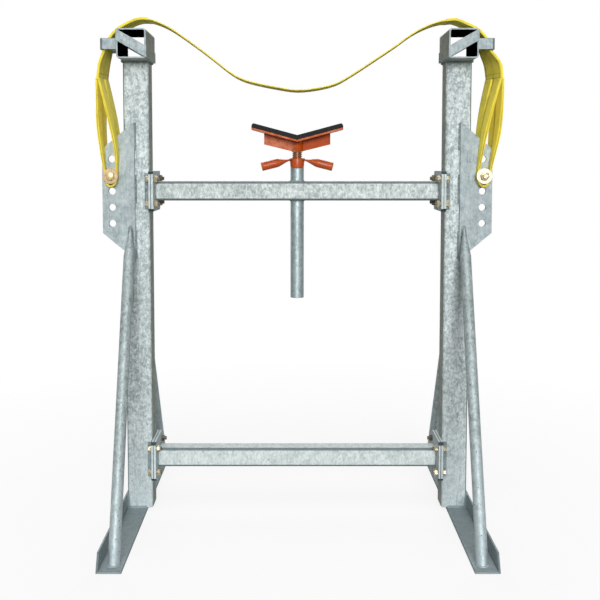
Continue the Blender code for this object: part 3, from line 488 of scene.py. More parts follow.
webbing, tree, shader, place = new_material("Woven polyester webbing")
along = add(tree, "ShaderNodeUVMap", uv_map="Strap metres")
waves = []
for pitch, distortion, direction in ((RIB_PITCH, 0.6, "X"), (WEFT_PITCH, 0.3, "Y")):
    facts = {"Vector": along, "Scale": WAVE_LENGTH / pitch, "Distortion": distortion, "Detail": 1.0}
    waves.append(add(tree, "ShaderNodeTexWave", facts, bands_direction=direction).outputs["Fac"])
ribs, weft = waves
weave = maths(tree, "MULTIPLY_ADD", weft, 0.35, ribs)
grime = noise(tree, place, 1 / GRIME_SIZE, 4.0, 0.65)
off = maths(tree, "ABSOLUTE", coordinate(tree, along, 0))
off = maths(tree, "ABSOLUTE", maths(tree, "SUBTRACT", off, EDGE_LINE))
line = spread(tree, off, 0.0006, 0.0018, 0.35, 0.0)
dark = spread(tree, grime, 0.44, 0.76, 0.0, 0.62)
dark = maths(tree, "MULTIPLY_ADD", weave, -0.16, dark)
dark = maths(tree, "ADD", dark, line, use_clamp=True)
yarn = blend(tree, dark, "#FBE94E", "#BBAA3A")
surface(shader, yarn, 0.72, (0.55, 0.0007, weave))
fill(shader, {"Sheen Weight": 0.15, "Sheen Roughness": 0.4})

# Bonded polyester thread, a shade browner than the webbing after it has been outside.
thread, tree, shader, place = new_material("Bonded polyester sewing thread")
worn = blend(tree, noise(tree, place, 1 / 0.012, 2.0), "#6A5818", "#9C8A34")
fill(shader, {"Base Color": worn, "Roughness": 0.6})
print("ribs", RIB_PITCH * 1000, "mm, weft", WEFT_PITCH * 1000, "mm")

# %% [markdown]
# ## The path of the sling
#
# The sling hangs between the heads, passes over each head inside its keeper, and goes down outside
# to two sewn eyes on a bolt. Its path is a smooth curve through points that are placed from the
# heads and the bolts, the same as in the CAD. Each point has a lean as well, because the strap's
# front edge hangs a little further out than its rear edge on the way down.

# %% Path helpers
def eased(share):
    """A share from 0 to 1 that starts and stops gently."""
    return share * share * (3 - 2 * share)


def smooth_path(points, steps):
    """A smooth curve through the points, with so many steps from each to the next."""
    padded = [2 * points[0] - points[1], *points, 2 * points[-1] - points[-2]]
    path = []
    for before, start, end, after in zip(padded, padded[1:], padded[2:], padded[3:]):
        for step in range(steps):
            t = step / steps
            bend = 2 * before - 5 * start + 4 * end - after
            turn = 3 * start - before - 3 * end + after
            path.append(0.5 * (2 * start + (end - before) * t + bend * t**2 + turn * t**3))
    return [*path, points[-1]]


def stations(path):
    """The length so far and the direction out of the strap's face at each point of a path."""
    lengths, outwards = [0.0], []
    for start, end in zip(path, path[1:]):
        lengths.append(lengths[-1] + (end - start).to_2d().length)
    for i in range(len(path)):
        ahead = path[min(i + 1, len(path) - 1)] - path[max(i - 1, 0)]
        outwards.append(Vector((-ahead.y, ahead.x)).normalized())
    return lengths, outwards


def swept(bm, rings, closed=False, place=Matrix()):
    """Joins rings of points into a closed skin and returns their vertices.

    The ends are filled, or the last ring is joined to the first.
    """
    rings = [[bm.verts.new(place @ Vector(p)) for p in ring] for ring in rings]
    count = len(rings[0])
    steps = [(j, (j + 1) % count) for j in range(count)]
    pairs = list(zip(rings, rings[1:])) + ([(rings[-1], rings[0])] if closed else [])
    made = [bm.faces.new((a[j], a[k], b[k], b[j])) for a, b in pairs for j, k in steps]
    if not closed:
        made += [bm.faces.new(rings[0][::-1]), bm.faces.new(rings[-1])]
    bmesh.ops.recalc_face_normals(bm, faces=made)
    return rings


def strap(bm, path, half_widths, middles, offsets, thickness):
    """Adds one ply of webbing, with rounded selvedges, and writes its UV map in metres."""
    lengths, outwards = stations(path)
    uv = bm.loops.layers.uv.get("Strap metres") or bm.loops.layers.uv.new("Strap metres")
    flats = (-0.55, 0.0, 0.55)
    rings, marks = [], []
    for i, point in enumerate(path):
        half, middle, offset = half_widths[i], middles[i], offsets[i]
        nose = thickness / 2 / half
        rim = [(-1 + nose, 0.5), *[(a, 0.5) for a in flats], (1 - nose, 0.5), (1 - 0.3 * nose, 0.35), (1, 0)]
        rim += [(1 - 0.3 * nose, -0.35), (1 - nose, -0.5), *[(-a, -0.5) for a in flats], (-1 + nose, -0.5)]
        rim += [(-1 + 0.3 * nose, -0.35), (-1, 0), (-1 + 0.3 * nose, 0.35)]
        ring = []
        for a, b in rim:
            out = offset + b * thickness
            x = point.x + outwards[i].x * out - point.z / 2 * a
            ring.append((x, middle + a * half, point.y + outwards[i].y * out))
        rings.append(ring)
        marks.append([(a * half, lengths[i]) for a, _b in rim])
    for ring, mark in zip(swept(bm, rings), marks):
        for vert, value in zip(ring, mark):
            for loop in vert.link_loops:
                loop[uv].uv = value
    return lengths[-1]


print("half way along a gentle start and stop:", eased(0.5))

# %% Measures of the sling, from the CAD and the photograph
SIGNS = {"left": -1, "right": 1}
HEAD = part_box("right_head_tube")
POST_OUT = (HEAD[0].x + HEAD[1].x) / 2
HEAD_TOP = HEAD[1].z
HEAD_FOOT = HEAD[0].z
HEAD_SIDE = HEAD_TOP - HEAD_FOOT
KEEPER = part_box("right_strap_keeper")
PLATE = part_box("right_bolt_plate")
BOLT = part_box("right_sling_bolt")
BOLT_OUT = (BOLT[0].x + BOLT[1].x) / 2
BOLT_HEIGHT = (BOLT[0].z + BOLT[1].z) / 2
SLING_MIDDLE = (PLATE[0].y + PLATE[1].y) / 2
SLING_WIDTH = 0.090
PLY = 0.004
OVERLAP_OUT = 0.452
SAG = 0.183
SEAM_BELOW_HEAD = 0.060
HEAD_CORNER = 0.009
STRAP_CLEARANCE = 0.0008
KEEPER_THICKNESS = 0.005
# How far round the head's outer corner the path is held, from level, in radians.
CORNER_HOLD = 0.80
# Each side of the sling: how far its peak stands above the head, how far out its seam is from the
# sling bolt, its lean at the seam, and the points of its free span as shares of the way out to the
# post and of the rise.
SIDES = {
    "left": {
        "peak": 0.032,
        "seam_out": 0.027,
        "lean": 0.013,
        "span": (0.130, 0.040, 0.270, 0.108, 0.350, 0.170, 0.420, 0.266, 0.560, 0.520, 0.710, 0.772)
        + (0.790, 0.890, 0.860, 0.962, 0.925, 1.000),
        "legs": (
            (0.74, 0.033, 0.009),
            (0.51, 0.0325, -0.006),
            (0.27, 0.026, -0.0175),
            (0.08, 0.0195, -0.0185),
        ),
    },
    "right": {
        "peak": 0.0295,
        "seam_out": 0.0335,
        "lean": 0.030,
        "span": (0.130, 0.030, 0.240, 0.098, 0.330, 0.215, 0.460, 0.412, 0.600, 0.632, 0.700, 0.800)
        + (0.780, 0.900, 0.860, 0.967, 0.945, 1.000),
        "legs": (
            (0.74, 0.045, 0.019),
            (0.44, 0.040, 0.0),
            (0.14, 0.0235, -0.0135),
            (0.07, 0.0205, -0.0170),
        ),
    },
}
SEAM_HEIGHT = HEAD_FOOT - SEAM_BELOW_HEAD
LOW = HEAD_TOP - SAG
print("posts at", round(POST_OUT, 4), "seam at", round(SEAM_HEIGHT, 4), "bolt at", round(BOLT_HEIGHT, 4))


# %% Route of one side
def sling_route(side):
    """One side of the sling's centreline, from its lowest point out to its seam."""
    facts = SIDES[side]
    peak, lean = HEAD_TOP + facts["peak"], facts["lean"]
    seat = HEAD_CORNER + STRAP_CLEARANCE + PLY
    corner_x, corner_z = POST_OUT + HEAD_SIDE / 2 - HEAD_CORNER, HEAD_TOP - HEAD_CORNER
    keeper_face = KEEPER[1].x - KEEPER_THICKNESS - STRAP_CLEARANCE - PLY
    keeper_low, keeper_height = KEEPER[0].z, KEEPER[1].z - KEEPER[0].z
    seam_x = BOLT_OUT + facts["seam_out"]
    span = zip(facts["span"][::2], facts["span"][1::2])
    route = [(share * POST_OUT, LOW + rise * (peak - LOW), 0) for share, rise in span]
    route += [
        (POST_OUT - 0.010, peak - 0.003, 0),
        (POST_OUT + 0.016, peak - 0.014, 0),
        (corner_x + seat * math.cos(CORNER_HOLD), corner_z + seat * math.sin(CORNER_HOLD), lean * 0.05),
        (corner_x + 0.033, corner_z - 0.018, lean * 0.3),
        (keeper_face - lean / 4 - 0.0003, keeper_low + keeper_height / 4, lean * 0.5),
        (keeper_face - lean / 4, keeper_low - 0.002, lean * 0.5),
        (seam_x - 0.007, keeper_low - 0.040, lean),
        (seam_x, SEAM_HEIGHT, lean),
    ]
    return [Vector(point) for point in route]


routes = {side: sling_route(side) for side in SIDES}
mirrored = [Vector((-p.x, p.y, -p.z)) for p in reversed(routes["left"])]
BAND_STEPS = 8
band_path = smooth_path([*mirrored, Vector((0, LOW, 0)), *routes["right"]], BAND_STEPS)
print("band path", len(band_path), "points, lowest", round(min(p.y for p in band_path), 4))

# %% [markdown]
# ## The sling's plies
#
# The long ply runs from seam to seam. Over each head a second ply lies on top of it, from an end
# just inside the head down to the seam, so the strap is double where it is worn. Each eye is a loop
# of two narrower plies that are sewn in at the seam, folded round the sling bolt. Every ply is a
# thin closed strip swept along its path, a cut-out that was never wider or longer than the real one.

# %% Band and overlaps
PLY_GAP = 0.0002
OVERLAP_INSET = 0.0004
STEP_LENGTH = 0.014


def inner_share(point):
    """How much of the double thickness lies over the long ply, from none in the span to all."""
    return eased(min(1, max(0, (abs(point.x) - OVERLAP_OUT + STEP_LENGTH / 2) / STEP_LENGTH)))


bm = bmesh.new()
count = len(band_path)
band_offsets = [-PLY / 2 * inner_share(p) for p in band_path]
half = SLING_WIDTH / 2
band_length = strap(bm, band_path, [half] * count, [SLING_MIDDLE] * count, band_offsets, PLY - PLY_GAP)
band = to_object("sling_band", bm, [webbing], "frame", ("sling",))

strips = {}
for side, sign in SIGNS.items():
    strips[side] = [p for p in band_path if sign * p.x > OVERLAP_OUT]
    bm = bmesh.new()
    path = strips[side]
    count = len(path)
    halves = [half - OVERLAP_INSET] * count
    strap(bm, path, halves, [SLING_MIDDLE] * count, [PLY / 2] * count, PLY - PLY_GAP)
    to_object(f"sling_{side}_overlap", bm, [webbing], "frame")
print("band is", round(band_length, 4), "m long")

# %% Sewn eyes
EYE_SEWN_IN = 0.004
EYE_PLY, LEG_GAP = 0.003, 0.00015
EYE_WIDTH_AT_SEAM, EYE_WIDTH_AT_BOLT = 0.036, 0.022
# An eye is folded to its full narrowness over the first and last length / 2.6 of its path.
NARROWING = 2.6
EYE_CLEARANCE = 0.001
EYE_HALF, EYE_DROP = 0.0185, 0.0315
EYE_PARTING = {"left": 0.002, "right": 0.003}
EYE_TWIST = {"left": 0.006, "right": 0.007}


def eye_path(side, sign, forward):
    """The centreline of one eye, down its outer leg, round the bolt and up its inner leg."""
    facts = SIDES[side]
    fall = SEAM_HEIGHT + EYE_SEWN_IN - BOLT_HEIGHT
    part = (SLING_WIDTH - EYE_WIDTH_AT_SEAM) / 2 / SLING_WIDTH
    behind = (1 + forward) * part * facts["lean"]
    own_lean = facts["lean"] * EYE_WIDTH_AT_SEAM / SLING_WIDTH
    seam_x = BOLT_OUT + facts["seam_out"] + part * facts["lean"] - behind
    outer_leg = [(seam_x + EYE_PLY + LEG_GAP, BOLT_HEIGHT + fall, own_lean)]
    inner_leg = [(seam_x - EYE_PLY - LEG_GAP, BOLT_HEIGHT + fall, own_lean)]
    for up, outer, inner in facts["legs"]:
        lean = own_lean * up * up + EYE_TWIST[side] * math.sin(math.pi * up)
        for leg, out in ((outer_leg, outer), (inner_leg, inner)):
            leg.append((BOLT_OUT + out - behind * up, BOLT_HEIGHT + up * fall, lean))
    bend = ((1, 0), (0.72, 0.70), (0, 1), (-0.72, 0.70), (-1, 0))
    round_bolt = [(BOLT_OUT + out * EYE_HALF, BOLT_HEIGHT - down * EYE_DROP, 0) for out, down in bend]
    points = [*outer_leg, *round_bolt, *reversed(inner_leg)]
    return smooth_path([Vector((sign * x, y, sign * lean)) for x, y, lean in points], 6)


for side, sign in SIGNS.items():
    for where, forward in (("front", -1), ("rear", 1)):
        path = eye_path(side, sign, forward)
        lengths = stations(path)[0]
        near = (PLATE[0].y if forward < 0 else PLATE[1].y) + forward * EYE_CLEARANCE
        halves, middles = [], []
        for length in lengths:
            share = eased(min(1, NARROWING * length / lengths[-1], NARROWING * (1 - length / lengths[-1])))
            width = EYE_WIDTH_AT_SEAM + (EYE_WIDTH_AT_BOLT - EYE_WIDTH_AT_SEAM) * share
            halves.append(width / 2)
            middles.append(near + forward * width / 2)
        bm = bmesh.new()
        for layer in (-1, 1):
            offsets = []
            for length in lengths:
                # The plies part on the way down, most where they are far from the seam and the bolt.
                share = 2 * length / lengths[-1]
                parted = math.sin(math.pi * (share % 1)) ** 2 * EYE_PARTING[side]
                offsets.append(layer * (EYE_PLY / 2 + 0.0001 + parted / 2))
            strap(bm, path, halves, middles, offsets, EYE_PLY - PLY_GAP)
        to_object(f"sling_{side}_{where}_eye", bm, [webbing], "frame")
        print(side, where, "eye is cut", round(lengths[-1], 3), "m long")

# %% [markdown]
# ## Stitches
#
# Thread shows on the double part of the strap: a row down each edge, rows across the end of the top
# ply, and rows across the seam where the eyes are sewn in. A stitch repeats along a line hundreds of
# times, which is a job for Geometry Nodes: the lines are mesh edges, the tree spaces points along
# them and puts one small capsule of thread on each, turned along the line.

# %% Lines of stitches
STITCH_PITCH, STITCH_LENGTH, THREAD_RADIUS = 0.0050, 0.0036, 0.00055
THREAD_LIFT = 0.0001


def run_tree(name, tree, values, verts, edges, attributes=None):
    """Runs a Geometry Nodes tree on a mesh of lines or points and keeps its result as a plain mesh."""
    mesh = bpy.data.meshes.new(name)
    mesh.from_pydata(verts, edges, [])
    for key, numbers in (attributes or {}).items():
        mesh.attributes.new(key, "FLOAT", "POINT").data.foreach_set("value", numbers)
    obj = place_object(name, mesh)
    modifier = obj.modifiers.new(name, "NODES")
    modifier.node_group = tree
    for item in tree.interface.items_tree:
        if item.in_out == "INPUT" and item.name in values:
            modifier[item.identifier] = values[item.name]
    depsgraph = bpy.context.evaluated_depsgraph_get()
    plain = bpy.data.meshes.new_from_object(obj.evaluated_get(depsgraph), depsgraph=depsgraph)
    obj.modifiers.remove(modifier)
    obj.data = plain
    plain.shade_smooth()
    plain.set_sharp_from_angle(angle=SHARP)
    return obj


def new_tree(name, inputs):
    """An empty Geometry Nodes tree with a geometry in and out and these named inputs."""
    tree = bpy.data.node_groups.new(name, "GeometryNodeTree")
    tree.interface.new_socket("Geometry", in_out="OUTPUT", socket_type="NodeSocketGeometry")
    tree.interface.new_socket("Geometry", in_out="INPUT", socket_type="NodeSocketGeometry")
    for key, kind in inputs.items():
        tree.interface.new_socket(key, in_out="INPUT", socket_type=f"NodeSocket{kind}")
    return tree, add(tree, "NodeGroupInput").outputs


def end_tree(tree, shapes, finish):
    """Ends a Geometry Nodes tree: its shapes are made real and get their finish."""
    real = add(tree, "GeometryNodeRealizeInstances", {0: shapes})
    done = add(tree, "GeometryNodeSetMaterial", {"Geometry": real, "Material": finish})
    add(tree, "NodeGroupOutput", {0: done})


def pattern(name, bm):
    """An object outside the scene, for a tree to copy."""
    mesh = bpy.data.meshes.new(name)
    bm.to_mesh(mesh)
    bm.free()
    return bpy.data.objects.new(name, mesh)


tree, given = new_tree("Stitches along lines", {"Pitch": "Float", "Stitch": "Object", "Thread": "Material"})
lines = add(tree, "GeometryNodeMeshToCurve", {0: given["Geometry"]})
spaced = add(tree, "GeometryNodeResampleCurve", {"Curve": lines, "Length": given["Pitch"]}, mode="LENGTH")
points = add(tree, "GeometryNodeCurveToPoints", {"Curve": spaced}, mode="EVALUATED")
shape = add(tree, "GeometryNodeObjectInfo", {"Object": given["Stitch"]})
small, large = (0.85, 0.85, 0.9), (1.15, 1.1, 1.08)
vary = add(tree, "FunctionNodeRandomValue", {0: small, 1: large, "Seed": 7}, data_type="FLOAT_VECTOR")
facts = {"Points": points, "Instance": shape.outputs["Geometry"], "Rotation": points.outputs["Rotation"]}
end_tree(tree, add(tree, "GeometryNodeInstanceOnPoints", {**facts, "Scale": vary}), given["Thread"])
stitch_tree = tree
print("stitches every", STITCH_PITCH * 1000, "mm")

# %% Sew the sling
bm = bmesh.new()
tip, full = STITCH_LENGTH / 2, THREAD_RADIUS
capsule = ((full / 2, -tip), (full, full - tip), (full, tip - full), (full / 2, tip))
swept(bm, [circle(radius, along, 6) for radius, along in capsule])
stitch_shape = pattern("Stitch pattern", bm)

verts, edges = [], []


def sew(points):
    """Adds one line of stitches."""
    first = len(verts)
    verts.extend(points)
    edges.extend((i, i + 1) for i in range(first, len(verts) - 1))


def on_face(path, outwards, i, a, offset):
    """A point on the strap at station i, a from -1 at its front edge to 1 at its rear, offset outwards."""
    point, out = path[i], outwards[i]
    x = point.x + out.x * offset - point.z / 2 * a
    return (x, SLING_MIDDLE + a * half, point.y + out.y * offset)


for side in SIDES:
    path = strips[side] if side == "right" else strips[side][::-1]
    lengths, outwards = stations(path)
    if side == "left":
        outwards = [-out for out in outwards]
    total = lengths[-1]
    for offset in (PLY + THREAD_LIFT, -PLY - THREAD_LIFT):
        for a in (-0.80, -0.12, 0.80):
            keep = [i for i, length in enumerate(lengths) if 0.006 < length < total - 0.003]
            sew([on_face(path, outwards, i, a, offset) for i in keep])
        for back in (0.004, 0.011, total - 0.016, total - 0.004):
            i = min(range(len(path)), key=lambda i: abs(lengths[i] - back))
            sew([on_face(path, outwards, i, a / 10, offset) for a in range(-9, 10, 3)])
values = {"Pitch": STITCH_PITCH, "Stitch": stitch_shape, "Thread": thread}
stitches = run_tree("sling_stitches", stitch_tree, values, verts, edges)
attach(stitches, "frame")
bpy.data.objects.remove(stitch_shape)
print("stitch faces", len(stitches.data.polygons))

# %% [markdown]
# ## Paint, rubber, yellow zinc and screw steel
#
# The jack's moving parts are sprayed with orange enamel, which is dusty and worn to a speckle on the
# left gusset and the collar. The pad is black sheet rubber. The bolts have yellow passivated zinc, a
# gold film with hints of other colours. The screw is machine-cut steel under brown grease.

# %% Enamel
WEAR_GRAIN = 0.0022
PATCH_SIZE = 0.018
LEFT_BLEND = 0.012


def enamel(name, worn_left, worn_all, shine):
    """Sprayed orange enamel. worn_left adds dusty wear to the side below X 0."""
    material, tree, shader, place = new_material(name)
    left = spread(tree, coordinate(tree, place, 0), LEFT_BLEND, -LEFT_BLEND, 0.0, worn_left)
    patches = noise(tree, place, 1 / PATCH_SIZE, 3.0)
    grains = noise(tree, place, 1 / WEAR_GRAIN, 2.0, 0.7)
    wear = maths(tree, "MULTIPLY_ADD", patches, 0.7, grains)
    wear = maths(tree, "ADD", wear, left)
    wear = spread(tree, wear, 1.02 - worn_all, 1.30 - worn_all, 0.0, 1.0)
    shade = blend(tree, patches, "#9C3D0E", "#C45519")
    dusty = blend(tree, grains, "#C4623C", "#DE9A7C")
    colour = blend(tree, wear, shade, dusty)
    gloss = spread(tree, wear, 0.0, 1.0, 0.34, 0.62)
    surface(shader, colour, gloss, (0.3, 0.0004, patches), shine=shine)
    return material


head_enamel = enamel("Worn orange enamel on the V head", 0.54, -0.14, 0.06)
plate_enamel = enamel("Rubbed orange enamel on the V plate", 0.05, 0.26, 0.06)
nut_enamel = enamel("Orange enamel on the wing nut", 0.0, -0.03, 0.32)
print("enamel wear grain", WEAR_GRAIN * 1000, "mm")

# %% Rubber, yellow zinc and screw steel
def two_tone(name, dark, light, third, size, roughness, metallic, bump_depth=0.0001, shine=0.5):
    """A finish that is mottled between two colours, with a third in places or None."""
    material, tree, shader, place = new_material(name)
    mottle = noise(tree, place, 1 / size, 4.0, 0.6)
    share = spread(tree, mottle, 0.35, 0.65, 0.0, 1.0)
    colour = blend(tree, share, dark, light)
    if third:
        film = noise(tree, place, 0.6 / size, 2.0)
        fill(film, {"Distortion": 1.0})
        part = spread(tree, film, 0.52, 0.66, 0.0, 0.8)
        colour = blend(tree, part, colour, third)
    gloss = spread(tree, mottle, 0.3, 0.7, roughness - 0.07, roughness + 0.07)
    surface(shader, colour, gloss, (0.4, bump_depth, mottle), metallic, shine)
    return material


# Pressed sheet rubber, black with a bloom of grey dust in its grain.
rubber = two_tone("Pressed black rubber sheet", "#151818", "#272A2A", None, 0.006, 0.72, 0.0, 0.0005, 0.15)
# Yellow passivation over zinc plate: a gold film that shows cream and rose in places.
gold_zinc = two_tone("Yellow passivated zinc plate", "#9A8450", "#D6C696", "#B8A08E", 0.004, 0.36, 0.60)
# The flange bolts are weathered to a darker mottle, and their near-white patches are a painted highlight.
weathered_gold_and_highlight = two_tone("Weathered yellow zinc bolt with painted highlights", "#3A3020", "#D2C397", "#FBF7EA", 0.0022, 0.36, 0.50)
# The screw ends are darkened towards their tips, and the rear row of bolts is painted dark as shade.
SCREW_END, DARKENED_END = 0.4325, 0.4295
REAR_ROW = 0.03
tree = weathered_gold_and_highlight.node_tree
shader = tree.nodes["Principled BSDF"]
before_darkening = shader.inputs["Base Color"].links[0].from_socket
place = add(tree, "ShaderNodeTexCoord").outputs["Object"]
ends = spread(tree, maths(tree, "ABSOLUTE", coordinate(tree, place, 0)), DARKENED_END, SCREW_END, 0.85, 0.0)
# Painted shade: the rear row of bolts is darkened.
rear = spread(tree, coordinate(tree, place, 1), 0.0, REAR_ROW, 0.0, 0.7)
fill(shader, {"Base Color": blend(tree, maths(tree, "MAXIMUM", ends, rear), before_darkening, "#2B241B")})
# The left washers are a darker brown, and the right ones paler.
darker_washer_zinc = two_tone("Darker yellow zinc washer", "#8A7350", "#B9A27A", "#A08468", 0.005, 0.42, 0.40)
pale_zinc = two_tone("Paler yellow zinc washer", "#C0B591", "#E6E0C8", "#D2C4A4", 0.005, 0.40, 0.40)
# Turned screw thread under old grease, with brown patches.
screw_steel = two_tone("Greased machine-cut screw steel", "#4A3626", "#8E6A46", "#A9542C", 0.005, 0.32, 0.65)
print("finishes", len(bpy.data.materials))

# %% [markdown]
# ## The V head and its pad
#
# The head is a bent plate on a collar with two gussets, under a rubber pad glued on top. It turns
# freely on the screw, so its pieces ride the cradle body.

# %% Dress the V head
dress("v_plate", "v_plate_bent_steel", plate_enamel, "cradle", "orange_paint", edge=0.0008)
dress("v_support", "v_collar_and_gussets", head_enamel, "cradle", "orange_paint", edge=0.0006)
dress("rubber_pad", "v_rubber_pad", rubber, "cradle", "rubber", edge=0.0015)

# %% [markdown]
# ## The wing nut
#
# The nut is a turned boss with two short tubes welded on as handles, each pinched flat at its root.
# The boss is a profile spun round Z. A handle is a sweep of ovals that go from flat to round, with
# its bore sunk into the open end. The two tubes droop, so they are built level and then tilted.

# %% Wing nut
NUT_RUNNING_GAP = 0.0003
NUT_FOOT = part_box("jack_tube")[1].z + NUT_RUNNING_GAP
NUT_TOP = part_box("wing_nut")[1].z
NUT_BORE = 0.0163
FOOT_RADIUS, TOP_RADIUS, EASED = 0.02125, 0.0230, 0.0014
HANDLE_RADIUS, HANDLE_WALL = 0.01345, 0.0026
HANDLE_LENGTH, HANDLE_TAPER, HANDLE_DROOP = 0.096, 0.040, math.radians(14)
HANDLE_ROOT = 0.0188
HANDLE_LEVEL = NUT_TOP - 0.004

bm = bmesh.new()
boss = [
    (NUT_BORE, NUT_FOOT),
    (FOOT_RADIUS - EASED, NUT_FOOT),
    (FOOT_RADIUS, NUT_FOOT + EASED),
    (TOP_RADIUS, NUT_TOP - 2 * EASED),
    (TOP_RADIUS - EASED * 0.4, NUT_TOP - EASED * 0.6),
    (TOP_RADIUS - EASED, NUT_TOP),
    (NUT_BORE, NUT_TOP),
]
swept(bm, [circle(radius, z, 64) for radius, z in boss], closed=True)
ovals = [
    Vector((0, 0.0035, 0.0180)),
    Vector((HANDLE_TAPER * 0.35, 0.0045, 0.0182)),
    Vector((HANDLE_TAPER, 0.0121, 0.0146)),
    Vector((HANDLE_TAPER * 1.3, HANDLE_RADIUS, HANDLE_RADIUS)),
    Vector((HANDLE_LENGTH - 0.0012, HANDLE_RADIUS, HANDLE_RADIUS)),
]
outline = [(p.x, min(p.y, HANDLE_RADIUS), p.z) for p in smooth_path(ovals, 6)]
outline += [(HANDLE_LENGTH - 0.0004, HANDLE_RADIUS - 0.0003, HANDLE_RADIUS - 0.0003)]
outline += [(HANDLE_LENGTH, HANDLE_RADIUS - 0.0009, HANDLE_RADIUS - 0.0009)]
bore = HANDLE_RADIUS - HANDLE_WALL
outline += [(HANDLE_LENGTH, bore + 0.0004, bore + 0.0004), (HANDLE_LENGTH - 0.0006, bore, bore)]
outline += [(HANDLE_TAPER * 1.3, bore, bore)]
tilt = Matrix.Rotation(HANDLE_DROOP, 3, "Y")
for sign in (-1, 1):
    rings = []
    for along, high, wide in outline:
        ring = []
        for i in range(32):
            angle = math.tau * i / 32
            point = tilt @ Vector((along, wide * math.cos(angle), high * math.sin(angle)))
            ring.append((sign * (HANDLE_ROOT + point.x), point.y, HANDLE_LEVEL + point.z))
        rings.append(ring)
    swept(bm, rings)
to_object("wing_nut_turned", bm, [nut_enamel], "nut", ("wing_nut",))
print("wing nut", round(NUT_FOOT, 4), "to", round(NUT_TOP, 4))

# %% [markdown]
# ## The jack screw
#
# The CAD shows the screw as a plain bar. A real jack screw has a trapezoidal thread of 6 mm pitch.
# The profile of one pitch is carried round the axis in small steps, and each step is raised a little,
# so one turn meets the next. The ends are flattened to the CAD's length and filled.

# %% Screw thread
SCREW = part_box("jack_screw")
SCREW_RADIUS, SPIGOT_RADIUS = 0.016, 0.010
SPIGOT_LENGTH = 0.022
PITCH, DEPTH = 0.006, 0.0032
TURN_STEPS = 40
screw_foot, screw_head = SCREW[0].z, SCREW[1].z - SPIGOT_LENGTH
root = SCREW_RADIUS - DEPTH
profile = [(0.0, root), (0.17, root), (0.32, SCREW_RADIUS), (0.68, SCREW_RADIUS), (0.83, root)]
turns = int((screw_head - screw_foot) / PITCH) + 2
bm = bmesh.new()
columns = []
for k in range(turns * TURN_STEPS):
    angle = math.tau * k / TURN_STEPS
    column = []
    for share, radius in profile:
        z = screw_foot - PITCH + (k / TURN_STEPS + share) * PITCH
        z = min(max(z, screw_foot), screw_head)
        column.append(bm.verts.new((radius * math.cos(angle), radius * math.sin(angle), z)))
    columns.append(column)
for k, (column, after) in enumerate(zip(columns, columns[1:])):
    # The top of each column joins the foot of the one a turn further on.
    above = columns[k + TURN_STEPS : k + TURN_STEPS + 2]
    if len(above) == 2:
        column, after = [*column, above[0][0]], [*after, above[1][0]]
    for j in range(len(column) - 1):
        bm.faces.new((column[j], after[j], after[j + 1], column[j + 1]))
bmesh.ops.remove_doubles(bm, verts=bm.verts, dist=1e-6)
bmesh.ops.holes_fill(bm, edges=[e for e in bm.edges if e.is_boundary], sides=0)
bmesh.ops.recalc_face_normals(bm, faces=bm.faces)
swept(bm, [circle(SPIGOT_RADIUS, z, 32) for z in (screw_head - 0.004, SCREW[1].z)])
to_object("jack_screw_threaded", bm, [screw_steel], "screw", ("jack_screw",))
print("screw has", round((screw_head - screw_foot) / PITCH, 1), "turns")

# %% [markdown]
# ## Bolts, nuts and washers
#
# A forged hexagon has its corners turned off, which leaves a round face with curved edges. Each ring
# of points takes the smaller of the hexagon and the turned cone, so that edge comes by itself.

# %% Hexagon and washer helpers
RING_STEPS, SHANK_STEPS = 48, 24
# As a share of the width across flats: the radius of the round face on a hexagon's end.
ROUND_FACE = 0.47
# As shares of its thickness: how far a washer's edges are eased.
WASHER_EASE = 0.18
# As shares of a shank's radius: its thread's root, and its end.
THREAD_ROOT, THREAD_END = 0.90, 0.86


def hex_ring(flats, limit, along):
    """A ring round Z that follows a hexagon but stays inside a circle."""
    ring = []
    for i in range(RING_STEPS):
        angle = math.tau * i / RING_STEPS
        reach = flats / 2 / math.cos(angle % (math.tau / 6) - math.tau / 12)
        radius = min(limit, reach)
        ring.append((radius * math.cos(angle), radius * math.sin(angle), along))
    return ring


def hexagon(bm, flats, start, end, place, both=False):
    """A hexagon head from start to end, its corners turned off at the end, or at both."""
    corner = flats / 2 / math.cos(math.tau / 12)
    face = flats * ROUND_FACE
    drop = (corner - face) * math.tan(math.tau / 12)
    way = 1 if end > start else -1
    cone = [(face + (corner - face) * k / 4, drop * (1 - k / 4)) for k in range(5)]
    rings = [hex_ring(flats, limit, end - way * (drop - down)) for limit, down in cone]
    if both:
        rings += [hex_ring(flats, limit, start + way * (drop - down)) for limit, down in reversed(cone)]
    else:
        rings.append(hex_ring(flats, corner, start))
    swept(bm, rings, place=place)


def washer(bm, outer, bore, start, end, place, steps=RING_STEPS):
    """A punched washer with eased edges."""
    low, high = min(start, end), max(start, end)
    ease = (high - low) * WASHER_EASE
    loop = [(bore, low), (outer - ease, low), (outer, low + ease)]
    loop += [(outer, high - ease), (outer - ease, high), (bore, high)]
    swept(bm, [circle(radius, z, steps) for radius, z in loop], closed=True, place=place)


def threaded(bm, radius, start, end, place, pitch, cut_from):
    """A shank from start to end, with grooves at the thread's pitch from cut_from on."""
    way = 1 if end > start else -1
    outline = [(radius, start), (radius, cut_from)]
    z = cut_from
    while abs(end - z) > 1.6 * pitch:
        outline += [(radius * THREAD_ROOT, z + way * pitch / 2), (radius, z + way * pitch)]
        z += way * pitch
    outline += [(radius, end - way * pitch * 0.5), (radius * THREAD_END, end)]
    swept(bm, [circle(reach, along, SHANK_STEPS) for reach, along in outline], place=place)


print("rings of", RING_STEPS, "points")

# %% [markdown]
# ## Flange bolts
#
# Sixteen equal M12 bolts hold the crossbars, four at each joint, heads towards the upright. One
# detailed bolt is made at the origin, and a Geometry Nodes tree puts a copy on each point, turned
# half round on the left, and rolled by chance as a spanner leaves them.

